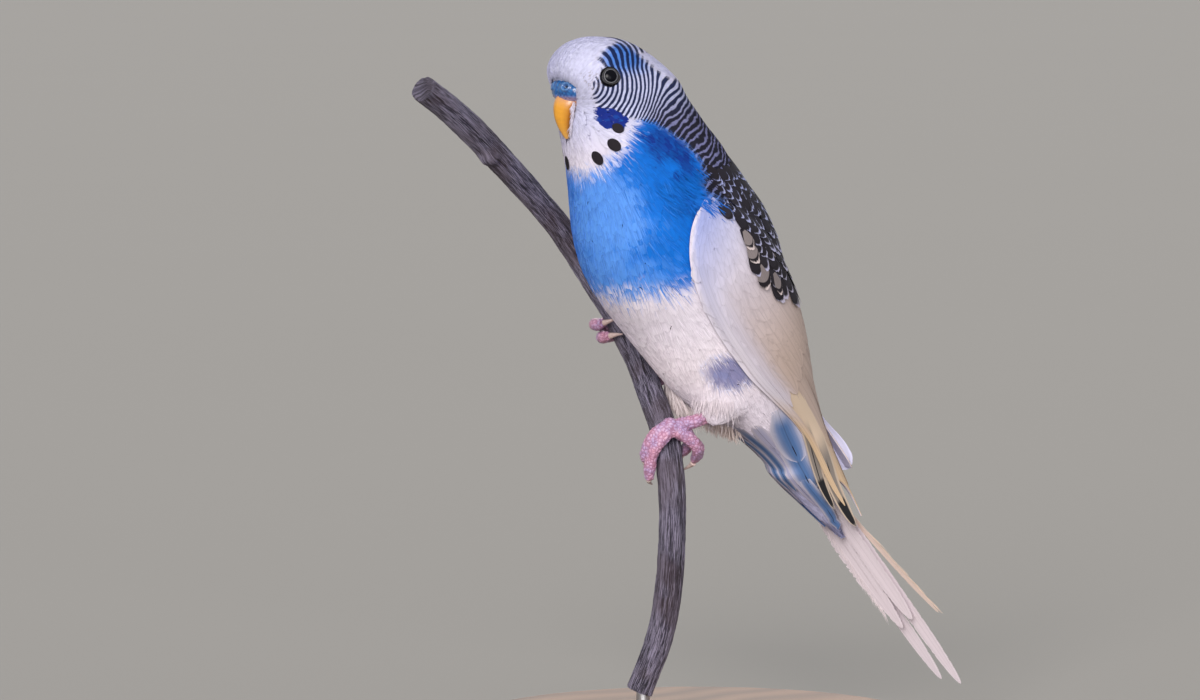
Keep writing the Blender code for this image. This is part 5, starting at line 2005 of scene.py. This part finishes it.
eye_look = Look("eye", Roughness=0.13, Specular_IOR_Level=0.10)
off_axis = eye_look.attribute("off_axis")
grain = eye_look.noise(eye_look.place(), 6.0, 3.0)
inside = 1.0 - eye_look.ease(off_axis, IRIS - 0.06, IRIS + 0.04)
iris = eye_look.ease(off_axis, PUPIL, PUPIL + 0.08) * inside
eye_look.feed(Base_Color=eye_look.mix(iris, PUPIL_BLACK, eye_look.mix(grain, *IRIS_GREYS)))

for side in SIGN:
    turn = np.linspace(0.0, math.pi, EYE_RINGS)[:, None, None]
    way = eye_way[side]
    first = unit(np.cross(way, (0.0, 0.0, 1.0)))
    second = np.cross(way, first)
    round_way = np.linspace(0, 2 * math.pi, EYE_SIDES, endpoint=False)[None, :, None]
    ring = first * np.cos(round_way) + second * np.sin(round_way)
    ball = eye_at[side] + EYE_RADIUS * (ring * np.sin(turn) + way * np.cos(turn))
    mesh = mended(grid_mesh(f"eyeball_{side}", ball, True), MERGE, True)
    spots = points_of(mesh) - eye_at[side]
    height = spots @ way
    off = np.linalg.norm(spots - height[:, None] * way, axis=1)
    keep(mesh, "off_axis", np.where(height > 0, off, EYE_RADIUS))
    piece(f"eyeball_{side}", mesh, eye_look.material, "eye", f"eye_{side}")

# %% [markdown]
# ## Eyelids
#
# Bare grey skin rings the eye, with two rows of tiny beads, and runs out to a point behind. The
# ring is a tube pressed onto the eyeball. The beads are the same small ball set along circles, so
# Geometry Nodes place them and then make them real.

# %% Trees of Geometry Nodes
class Build:
    """A tree of Geometry Nodes with named inputs, which is run once and gives a plain mesh."""

    KINDS = {int: "NodeSocketInt", float: "NodeSocketFloat", tuple: "NodeSocketVector"}

    def __init__(self, name, **sizes):
        self.tree = bpy.data.node_groups.new(name, "GeometryNodeTree")
        face = self.tree.interface
        for way in ("INPUT", "OUTPUT"):
            face.new_socket("Geometry", in_out=way, socket_type="NodeSocketGeometry")
        self.sockets = {}
        for label, value in sizes.items():
            kind = self.KINDS.get(type(value), "NodeSocketMaterial")
            made = face.new_socket(label.replace("_", " "), in_out="INPUT", socket_type=kind)
            self.sockets[label] = made.identifier
        self.sizes = sizes
        self.given = self.tree.nodes.new("NodeGroupInput")

    def size(self, label):
        return self.given.outputs[label.replace("_", " ")]

    def node(self, kind, settings=None, **sockets):
        """Any node: its settings first, then a value or a link for each socket."""
        made = self.tree.nodes.new(kind)
        for name, value in (settings or {}).items():
            setattr(made, name, value)
        for name, value in sockets.items():
            place = made.inputs[int(name[1:])] if name[1:].isdigit() else made.inputs[name.replace("_", " ")]
            if isinstance(value, bpy.types.NodeSocket):
                self.tree.links.new(value, place)
            else:
                place.default_value = value
        return made.outputs

    def math(self, operation, one, other=0.0):
        return self.node("ShaderNodeMath", {"operation": operation}, _0=one, _1=other)[0]

    def scaled(self, vector, factor):
        return self.node("ShaderNodeVectorMath", {"operation": "SCALE"}, _0=vector, Scale=factor)[0]

    def read(self, name):
        """A number that the mesh keeps at each point."""
        return self.node("GeometryNodeInputNamedAttribute", {"data_type": "FLOAT"}, Name=name)[0]

    def store(self, geometry, name, value):
        """Keeps a number at each point."""
        settings = {"data_type": "FLOAT", "domain": "POINT"}
        sockets = {"Geometry": geometry, "Name": name, "Value": value}
        return self.node("GeometryNodeStoreNamedAttribute", settings, **sockets)[0]

    def run(self, name, geometry, mesh):
        """Ends the tree in real geometry with its material, and returns the result."""
        real = self.node("GeometryNodeRealizeInstances", Geometry=geometry)
        done = self.node("GeometryNodeSetMaterial", Geometry=real[0], Material=self.size("Finish"))
        end = self.tree.nodes.new("NodeGroupOutput")
        self.tree.links.new(done[0], end.inputs[0])
        holder = add(name, mesh)
        step = holder.modifiers.new(name, "NODES")
        step.node_group = self.tree
        for label, value in self.sizes.items():
            step[self.sockets[label]] = value
        return finished(name, holder)


# %% Eyelid finish
LID_GREYS = ((0.012, 0.012, 0.016), (0.040, 0.038, 0.046))
BEAD_GREY = (0.15, 0.14, 0.13)
BEAD_MARK = 5.0  # what a bead keeps instead of its distance from the axis

lid_look = Look("eyelid", Roughness=0.6, Specular_IOR_Level=0.15)
lid_grain = lid_look.noise(lid_look.place(), 2.6, 3.0)
bead_share = lid_look.ease(lid_look.attribute("off_axis"), BEAD_MARK - 1, BEAD_MARK)
lid_colour = lid_look.mix(bead_share, lid_look.mix(lid_grain, *LID_GREYS), BEAD_GREY)
lid_look.feed(Base_Color=lid_colour, Normal=lid_look.bump(lid_grain, 0.08))

# %% Eyelids
LID_RINGS = (  # distance from the axis, height over the ball
    (1.54, -0.30), (1.54, 0.02), (1.60, 0.07), (1.70, 0.07), (1.82, 0.02), (1.98, -0.10), (2.16, -0.50),
)
LID_CORNER = 0.22  # how much further the lid reaches at its rear corner
BEAD_ROWS = ((1.60, 36, 0.05), (1.86, 34, 0.085))  # distance from the axis, beads, radius of a bead
BEAD_HEIGHT = 0.10


def lid_point(side, off, turn, height):
    """A point over the eyeball: its distance from the axis, its turn, and its height over the ball."""
    way = eye_way[side]
    ahead = flat_on(forward[None], way[None])[0]
    above = np.cross(way, ahead)
    above *= np.sign(above[2])
    corner = 1 + LID_CORNER * np.clip(-np.cos(turn - 0.25), 0, 1) ** 6
    corner += 0.07 * np.clip(np.cos(turn + 0.3), 0, 1) ** 6
    reach = off * (1 + (corner - 1) * np.clip((off - 1.5) / 0.5, 0, 1))
    ring = ahead * np.cos(turn)[..., None] + above * np.sin(turn)[..., None]
    rise = np.sqrt(np.clip(EYE_RADIUS**2 - np.minimum(off, 2.6) ** 2, 0, None)) + height
    return eye_at[side] + ring * np.asarray(reach)[..., None] + way * np.asarray(rise)[..., None]


for side in SIGN:
    turn = np.linspace(0, 2 * math.pi, 96, endpoint=False)[None, :]
    profile = rows_at(LID_RINGS, np.linspace(0, len(LID_RINGS) - 1, 25))
    grid = lid_point(side, *np.broadcast_arrays(profile[:, :1], turn), profile[:, 1:2])
    below = lid_point(side, *np.broadcast_arrays(profile[::-1, :1], turn), profile[::-1, 1:2] - 0.25)
    mesh = grid_mesh(f"lid_{side}", np.concatenate((grid, below, grid[:1])), True)
    off = np.concatenate((profile[:, 0], profile[::-1, 0], profile[:1, 0]))
    keep(mesh, "off_axis", np.repeat(off, turn.shape[1]))
    piece(f"lid_{side}", mended(mesh, MERGE), lid_look.material, "head_plumage")

    turns = [np.linspace(0, 2 * math.pi, count, endpoint=False) for _, count, _ in BEAD_ROWS]
    off, radius = (np.concatenate([np.full(row[1], row[k]) for row in BEAD_ROWS]) for k in (0, 2))
    seeds = track_of("bead_seeds", lid_point(side, off, np.concatenate(turns), BEAD_HEIGHT), False)
    keep(seeds, "width", radius * MM)
    keep(seeds, "off_axis", np.full(len(off), BEAD_MARK))
    build = Build("lid beads", Rings=6, Sides=8, Finish=lid_look.material)
    sides, rings = build.size("Sides"), build.size("Rings")
    bead = build.node("GeometryNodeMeshUVSphere", Segments=sides, Rings=rings, Radius=1.0)
    beads = build.node(
        "GeometryNodeInstanceOnPoints",
        Points=build.given.outputs[0], Instance=bead[0], Scale=build.read("width"),
    )
    smooth = build.node("GeometryNodeSetShadeSmooth", Geometry=beads[0])
    piece(f"lid_beads_{side}", build.run("lid_beads", smooth[0], seeds), lid_look.material, "head_plumage")

# %% [markdown]
# ## Bill
#
# The bill is a curved horn: rows give its forward reach, height, half depth and half width in the
# head's own frame. It is lofted again with a smooth curve through the rows. The culmen is keeled,
# pale gold along the ridge and pinker at the root.

# %% Rows of the bill
UPPER_BILL = (
    (9.2, 60.2, 2.3, 3.8),
    (10.7, 59.5, 2.45, 3.8),
    (11.9, 58.0, 2.45, 3.4),
    (12.35, 56.0, 2.05, 2.7),
    (12.2, 53.8, 1.5, 1.95),
    (11.8, 52.0, 0.95, 1.2),
    (11.35, 50.4, 0.4, 0.5),
)
LOWER_BILL = (
    (6.8, 56.4, 1.7, 3.0),
    (8.3, 55.0, 1.7, 2.8),
    (9.3, 53.4, 1.2, 2.1),
    (9.8, 52.2, 0.6, 1.2),
)
HORN_RINGS = 60
HORN_SIDES = 56
KEEL = 0.14
PINCH = 0.10
print("rows of the upper and the lower bill:", len(UPPER_BILL), len(LOWER_BILL))

# %% Horn finish
HORN_GOLDS = ((0.40, 0.14, 0.010), (0.66, 0.29, 0.024))  # at the sides and along the ridge
HORN_TIP = (0.62, 0.36, 0.12)
HORN_ROSE = (0.50, 0.26, 0.22)

horn_look = Look("bill_horn", Roughness=0.34, Coat_Weight=0.25, Coat_Roughness=0.25)
down, front, across = horn_look.triple("horn")
growth = horn_look.noise(horn_look.vector(down * 34.0, front * 1.2, across * 1.2), 1.0, 3.0)
fibre = horn_look.noise(horn_look.vector(down * 3.0, front * 7.0, across * 7.0), 1.0, 3.0)
horn_colour = horn_look.mix(horn_look.ease(front, -0.1, 0.85), *HORN_GOLDS)
horn_colour = horn_look.mix(horn_look.ease(down, 0.62, 1.0) * 0.5, horn_colour, HORN_TIP)
rose = (1.0 - horn_look.ease(down + (fibre - 0.5) * 0.12, 0.16, 0.42)) * 0.75
horn_colour = horn_look.mix(rose, horn_colour, HORN_ROSE)
horn_colour = horn_look.scaled(horn_colour, 0.82 + growth * 0.22 + fibre * 0.16)
horn_look.feed(Base_Color=horn_colour, Normal=horn_look.bump(growth + fibre, 0.05, 0.6))


# %% Bill
def horn_mesh(name, rows):
    """A smooth horn through the rows, closed and rounded at both ends."""
    s = np.linspace(0, len(rows) - 1, HORN_RINGS)
    reach, height, depth, width = np.moveaxis(rows_at(rows, s), -1, 0)
    way = unit(np.stack((np.gradient(reach), np.gradient(height)), axis=1))
    turn = np.linspace(0, 2 * math.pi, HORN_SIDES, endpoint=False)[None, :]
    front, side = np.cos(turn), np.sin(turn)
    keel = 1 + KEEL * np.clip(front, 0, 1) ** 4
    pinch = 1 - PINCH * np.clip(front, 0, 1) ** 2
    closing = np.sqrt(np.clip(1 - np.clip((s - (len(rows) - 1.35)) / 0.35, 0, 1) ** 2, 0.0, 1))[:, None]
    depth, width = depth[:, None] * closing * keel, width[:, None] * closing * pinch
    ahead = reach[:, None] - way[:, 1:2] * front * depth
    level = height[:, None] + way[:, 0:1] * front * depth
    mesh = grid_mesh(name, from_head(ahead, side * width, level), True)
    kept = np.stack(np.broadcast_arrays((s / (len(rows) - 1))[:, None], front, side), axis=-1)
    keep(mesh, "horn", kept.reshape(-1, 3))
    return mended(mesh, fill=True)


piece("bill_top", horn_mesh("bill_top", UPPER_BILL), horn_look.material, "horn", "bill_upper")
piece("bill_bottom", horn_mesh("bill_bottom", LOWER_BILL), horn_look.material, "horn", "bill_lower")

# %% [markdown]
# ## Cere
#
# The cere is the bare blue skin over the bill, with a nostril on each side. It is an ellipsoid
# whose surface is moved by a rule: a groove in the middle, a pit for each nostril, a raised rim
# round it, and small lumps. The finish reads how deep a point is, to paint shade into the nostril pits, and
# how low it lies.

# %% Cere
CERE_AT = (11.3, 0.0, 61.5)
CERE_HALF = (2.95, 5.6, 3.0)
CERE_LEAN = math.radians(12.0)
NOSTRIL = (2.0, 2.95, 1.04)  # forward, left and up of the cere's middle
PIT_REACH = 0.62
PIT_DEPTH = 0.75
RIM_REACH = 1.05
RIM_RISE = 0.34
RIM_WIDTH = 0.36
GROOVE_DEPTH = 0.28
LUMP_RISE = 0.07
LIP_RISE = 0.10  # of the ridge just over the bill
CERE_LOW = (-1.9, -0.7)  # heights between which its lower edge turns mauve

theta = np.linspace(0.0, math.pi, 90)[:, None]
phi = np.linspace(0, 2 * math.pi, 140, endpoint=False)[None, :]
ball = np.stack(np.broadcast_arrays(
    np.sin(theta) * np.cos(phi), np.sin(theta) * np.sin(phi), np.cos(theta) + 0 * phi
), axis=-1)


def leaned(points):
    """Forward, left and up of the head, from the cere's own x, y and z."""
    x = points[..., 0] * math.cos(CERE_LEAN) + points[..., 2] * math.sin(CERE_LEAN)
    z = -points[..., 0] * math.sin(CERE_LEAN) + points[..., 2] * math.cos(CERE_LEAN)
    return np.stack((-x, -points[..., 1], z), axis=-1)


local = leaned(ball * np.array(CERE_HALF))
local_normal = leaned(unit(ball / np.array(CERE_HALF)))
pit = rim = np.zeros(local.shape[:2])
for sign in SIGN.values():
    offset = local - np.array((NOSTRIL[0], sign * NOSTRIL[1], NOSTRIL[2]))
    offset[..., 2] *= 1.25
    away = np.linalg.norm(offset, axis=-1)
    pit = np.maximum(pit, np.exp(-((away / PIT_REACH) ** 4)))
    rim = np.maximum(rim, np.exp(-(((away - RIM_REACH) / RIM_WIDTH) ** 2)))
ahead, left, level = (local[..., k] for k in range(3))
groove = np.exp(-((left / 0.5) ** 2)) * GROOVE_DEPTH
low = 1 - ease(level, *CERE_LOW)
lumps = LUMP_RISE * np.sin(ahead * 3.1 + 1.3) * np.sin(left * 3.7) * np.sin(level * 3.3 + 0.6)
lumps = lumps + LIP_RISE * np.exp(-(((level + 1.25) / 0.28) ** 2)) * np.clip(local_normal[..., 0], 0, 1)
moved = local + local_normal * (rim * RIM_RISE * (1 - pit) - pit * PIT_DEPTH - groove + lumps)[..., None]
mesh = grid_mesh("cere_skin", from_head(*(moved[..., k] + CERE_AT[k] for k in range(3))), True)
keep(mesh, "cere", np.stack((pit, rim, low), axis=-1).reshape(-1, 3))
mesh = mended(mesh, MERGE)

# %% Cere finish
CERE_BLUES = ((0.006, 0.050, 0.20), (0.02, 0.15, 0.40))
CERE_RIM = (0.20, 0.34, 0.58)
CERE_MAUVE = (0.36, 0.26, 0.42)
NOSTRIL_SHADE = (0.01, 0.012, 0.03)

cere_look = Look("cere_skin", Roughness=0.3, Coat_Weight=0.5, Coat_Roughness=0.15)
deep, raised_rim, lower = cere_look.triple("cere")
grain = cere_look.noise(cere_look.place(), 1.6, 3.0)
pores = cere_look.noise(cere_look.place(), 5.0, 2.0)
cere_colour = cere_look.mix(cere_look.ease(grain, 0.35, 0.7), *CERE_BLUES)
cere_colour = cere_look.mix(raised_rim * 0.35, cere_colour, CERE_RIM)
cere_colour = cere_look.mix(lower * cere_look.ease(grain, 0.22, 0.5), cere_colour, CERE_MAUVE)
# the nostril pits are painted nearly black: painted shade inside the openings
cere_colour = cere_look.mix(cere_look.ease(deep, 0.35, 0.8), cere_colour, NOSTRIL_SHADE)
cere_look.feed(Base_Color=cere_colour, Normal=cere_look.bump(grain + pores * 0.5, 0.12, 0.8))
piece("cere_skin", mesh, cere_look.material, "cere", "cere")

# %% [markdown]
# ## Feet
#
# The feet are pink skin under small net-like scales. Foot and shank are joined by a remesh, and
# Geometry Nodes then raise each cell of a Voronoi pattern, so that the scales are real bumps. The
# same pattern, as a colour, paints shade into the creases and a highlight on each scale.

# %% Leg and claw finishes
SCALE_SIZE = 0.86
LEG_PINKS = ((0.52, 0.26, 0.38), (0.40, 0.27, 0.46))
LEG_FLUSH = (0.66, 0.24, 0.26)
LEG_CREASE_SHADE = (0.26, 0.08, 0.13)
LEG_SCALE_HIGHLIGHT = (0.84, 0.64, 0.72)
CLAW_COLOURS = ((0.40, 0.27, 0.25), (0.72, 0.55, 0.50))
EDGE_CELLS = {"feature": "DISTANCE_TO_EDGE"}

leg_look = Look("leg_skin", Roughness=0.48, Coat_Weight=0.15, Coat_Roughness=0.3)
cell_sockets = {"Vector": leg_look.place(), "Scale": 1 / SCALE_SIZE}
cell = leg_look.node("ShaderNodeTexVoronoi", EDGE_CELLS, cell_sockets)
tone = leg_look.noise(leg_look.place(), 0.35, 3.0)
flush = leg_look.noise(leg_look.place(), 1.4, 2.0)
leg_colour = leg_look.mix(leg_look.ease(tone, 0.38, 0.62), *LEG_PINKS)
leg_colour = leg_look.mix(leg_look.ease(flush, 0.5, 0.75) * 0.35, leg_colour, LEG_FLUSH)
# painted shade in the creases between the scales
leg_colour = leg_look.mix((1.0 - leg_look.ease(cell, 0.0, 0.14)) * 0.7, leg_colour, LEG_CREASE_SHADE)
# a painted highlight on the middle of each scale
leg_colour = leg_look.mix(leg_look.ease(cell, 0.2, 0.42) * 0.2, leg_colour, LEG_SCALE_HIGHLIGHT)
leg_look.feed(Base_Color=leg_colour, Normal=leg_look.bump(cell, 0.10, 0.6))

claw_look = Look("claw_horn", Roughness=0.32, Coat_Weight=0.2, Coat_Roughness=0.2)
claw_grain = claw_look.noise(claw_look.place(), 1.5, 3.0)
claw_look.feed(Base_Color=claw_look.mix(claw_grain, *CLAW_COLOURS), Normal=claw_look.bump(claw_grain, 0.05))

# %% Feet
LEG_GROW = 0.16
LEG_VOXEL = 0.17
SCALE_RISE = 0.13
SHANK_SINK = np.array((0.95, 1.15, 0.35))  # the shank's end goes under the coat of the thigh

for side in SIGN:
    parts = [solid_copy(f"foot_{side}", LEG_GROW), solid_copy(f"shank_{side}", LEG_GROW)]
    plain = remeshed(f"leg_{side}_plain", parts, LEG_VOXEL, 8)
    if side == "left":
        shank_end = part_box("shank_left")[1][0] / MM
        points = points_of(plain)
        sunk = ease(points[:, 0], shank_end - 3.6, shank_end - 0.6)[:, None]
        move_points(plain, points + sunk * SHANK_SINK)
    build = Build("scales", Scale_size=SCALE_SIZE, Scale_rise=SCALE_RISE * MM, Finish=leg_look.material)
    place = build.scaled(build.node("GeometryNodeInputPosition")[0], 1 / MM)
    finer = build.math("DIVIDE", 1.0, build.size("Scale_size"))
    cells = build.node("ShaderNodeTexVoronoi", EDGE_CELLS, Vector=place, Scale=finer)
    rise = build.node(
        "ShaderNodeMapRange", {"interpolation_type": "SMOOTHSTEP"},
        _0=cells[0], _1=0.0, _2=0.32, _3=0.0, _4=build.size("Scale_rise"),
    )
    shift = build.scaled(build.node("GeometryNodeInputNormal")[0], rise[0])
    moved = build.node("GeometryNodeSetPosition", Geometry=build.given.outputs[0], Offset=shift)
    mesh = build.run(f"leg_{side}", moved[0], plain)
    piece(f"leg_{side}", mesh, leg_look.material, "leg_skin", f"foot_{side}", f"shank_{side}")
    for number in range(1, 5):
        name = f"claw_{side}_{number}"
        mesh = remeshed(f"{name}_horn", [solid_copy(name)], 0.11, 6)
        piece(f"{name}_horn", mesh, claw_look.material, "claw", name)

# %% [markdown]
# ## The twig
#
# The perch is a dead twig: a bent stem with a cut top, long cracks and ridges, and a knot. Geometry
# Nodes sweep a circle along a curve and push its points out by a noise that is stretched along the
# stem, so that every ridge runs with the grain. How far along and round the stem a point is goes
# with it, for the finish.

# %% Rows of the twig
STEM_ROWS = (  # x, y, z and radius
    (-29.4, 28.0, 61.6, 3.1),
    (-18.5, 30.0, 55.4, 3.1),
    (-6.3, 31.8, 46.6, 3.2),
    (10.3, 32.2, 31.9, 2.9),
    (18.2, 32.0, 23.2, 2.9),
    (24.0, 30.5, 14.5, 2.9),
    (28.2, 27.8, 6.8, 3.0),
    (29.2, 23.6, 0.2, 3.1),
    (28.3, 19.2, -4.4, 3.1),
    (24.3, 9.5, -12.4, 3.1),
    (21.4, 2.6, -18.2, 3.1),
    (20.5, -0.4, -25.0, 3.1),
    (21.0, -1.0, -33.8, 3.1),
    (21.8, 0.0, -45.2, 3.1),
    (23.2, 3.0, -56.8, 3.1),
    (23.6, 7.0, -68.5, 3.1),
    (21.3, 11.0, -80.0, 3.15),
)
stem_track = rows_at(STEM_ROWS, np.linspace(0, len(STEM_ROWS) - 1, 200))
print("twig length mm:", np.linalg.norm(np.diff(stem_track[:, :3], axis=0), axis=1).sum().round(1))

# %% Bark finish
BARK_DARKS = ((0.005, 0.004, 0.008), (0.036, 0.028, 0.052))
BARK_STRAND = (0.32, 0.28, 0.38)
BARK_BLOTCH = (0.060, 0.035, 0.040)

bark_look = Look("bark", Roughness=0.82)
along, around = bark_look.attribute("along"), bark_look.attribute("around")
relief = bark_look.attribute("relief")
turn_x = (around * (2 * math.pi)).sine()
turn_y = (around * (2 * math.pi) + math.pi / 2).sine()
along = along * (1 / MM)
fibres = bark_look.noise(bark_look.vector(turn_x * 9.0, turn_y * 9.0, along * 0.16), 1.0, 4.0, 0.6)
strands = bark_look.noise(bark_look.vector(turn_x * 24.0, turn_y * 24.0, along * 0.24), 1.0, 4.0, 0.65)
blotch = bark_look.noise(bark_look.place(), 0.09, 2.0)
bark_colour = bark_look.mix(bark_look.ease(fibres, 0.36, 0.62), *BARK_DARKS)
strand = bark_look.ease(strands * 0.8 + relief * 0.2, 0.57, 0.64) * 0.75
bark_colour = bark_look.mix(strand, bark_colour, BARK_STRAND)
bark_colour = bark_look.mix(bark_look.ease(blotch, 0.45, 0.65) * 0.45, bark_colour, BARK_BLOTCH)
bark_look.feed(Base_Color=bark_colour, Normal=bark_look.bump(fibres + strands, 0.35, 0.9))

# %% Twig swept
KNOT_AT = (-7.6, 30.6, 45.2)
KNOT_REACH = 3.6
KNOT_RISE = 1.3
STEM_STEPS = 420
STEM_SIDES = 120
RIDGE_RISE = 0.75
RIDGE_STRETCH = 0.035  # how much slower the ridges change along the stem than round it

seed_curve = track_of("stem_track", stem_track[:, :3] + BIRD_AT)
keep(seed_curve, "radius_mm", stem_track[:, 3] * MM)
build = Build(
    "twig", Steps=STEM_STEPS, Sides=STEM_SIDES, Ridge_rise=RIDGE_RISE * MM, Knot_rise=KNOT_RISE * MM,
    Knot_reach=KNOT_REACH * MM, Knot_at=tuple((np.array(KNOT_AT) + BIRD_AT) * MM), Finish=bark_look.material,
)
curve = build.node("GeometryNodeMeshToCurve", Mesh=build.given.outputs[0])
even = build.node("GeometryNodeResampleCurve", Curve=curve[0], Count=build.size("Steps"))
kept_way = build.store(even[0], "along", build.node("GeometryNodeSplineParameter")[1])
profile = build.node(
    "GeometryNodeCurvePrimitiveCircle", {"mode": "RADIUS"}, Resolution=build.size("Sides"), Radius=1.0
)
kept_round = build.store(profile[0], "around", build.node("GeometryNodeSplineParameter")[0])
swept = build.node(
    "GeometryNodeCurveToMesh", Curve=kept_way, Profile_Curve=kept_round, Scale=build.read("radius_mm"),
    Fill_Caps=True,
)

# %% Ridges and knot
angle = build.math("MULTIPLY", build.read("around"), 2 * math.pi)
long_way = build.math("MULTIPLY", build.read("along"), 1 / MM * RIDGE_STRETCH)
grain_at = build.node(
    "ShaderNodeCombineXYZ", _0=build.math("COSINE", angle), _1=build.math("SINE", angle), _2=long_way
)
broad = build.node("ShaderNodeTexNoise", Vector=grain_at[0], Scale=1.7, Detail=2.0)
finer = build.node("ShaderNodeTexNoise", Vector=grain_at[0], Scale=4.6, Detail=4.0, Roughness=0.6)
relief = build.math("ADD", broad[0], finer[0])
risen = build.math("MULTIPLY", build.math("SUBTRACT", relief, 1.0), build.size("Ridge_rise"))
here = build.node("GeometryNodeInputPosition")
knot = build.size("Knot_at")
from_knot = build.node("ShaderNodeVectorMath", {"operation": "DISTANCE"}, _0=here[0], _1=knot)
knot_share = build.node(
    "ShaderNodeMapRange", {"interpolation_type": "SMOOTHERSTEP"},
    _0=from_knot[1], _1=build.size("Knot_reach"), _2=0.0, _3=0.0, _4=build.size("Knot_rise"),
)
shift = build.scaled(build.node("GeometryNodeInputNormal")[0], build.math("ADD", risen, knot_share[0]))
marked = build.store(swept[0], "relief", relief)
moved = build.node("GeometryNodeSetPosition", Geometry=marked, Offset=shift)
smooth = build.node("GeometryNodeSetShadeSmooth", Geometry=moved[0])
stem_mesh = build.run("twig", smooth[0], seed_curve)
print("twig size mm:", np.ptp(points_of(stem_mesh), axis=0).round(1))
piece("twig", stem_mesh, bark_look.material, "bark", "stem")

# %% [markdown]
# ## Stand
#
# The base is a turned disc of dark wood and the rod is brushed steel. Their solids are right as they
# are, and only need their finishes: rings of grain for the wood, fine scratches round the rod.

# %% Stand
WOOD_BROWNS = ((0.115, 0.052, 0.026), (0.235, 0.118, 0.060))
STEEL_GREYS = ((0.50, 0.50, 0.51), (0.66, 0.66, 0.67))

wood_look = Look("stand_wood", Roughness=0.6)
place = wood_look.place()
bent = wood_look.noise(place, 0.012, 2.0)
x, y, z = wood_look.split(place)
rings = ((y * 0.42 + bent * 26.0 + z * 0.2).sine() + 1.0) * 0.5
pores = wood_look.noise(wood_look.vector(x * 0.05, y * 1.2, z * 1.2), 1.0, 3.0)
wood_colour = wood_look.mix(rings * 0.7 + pores * 0.3, *WOOD_BROWNS)
wood_colour = wood_look.scaled(wood_colour, 0.85 + pores * 0.3)
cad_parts["stand_base"].material_slots[0].material = wood_look.feed(
    Base_Color=wood_colour, Normal=wood_look.bump(pores, 0.05, 0.6)
)
steel_look = Look("stand_metal", Roughness=0.3, Metallic=1.0)
x, y, z = steel_look.split(steel_look.place())
scratch = steel_look.noise(steel_look.vector(x * 0.3, y * 0.3, z * 9.0), 1.0, 3.0)
steel_colour = steel_look.mix(scratch, *STEEL_GREYS)
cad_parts["stand_rod"].material_slots[0].material = steel_look.feed(
    Base_Color=steel_colour, Roughness=0.24 + scratch * 0.18
)
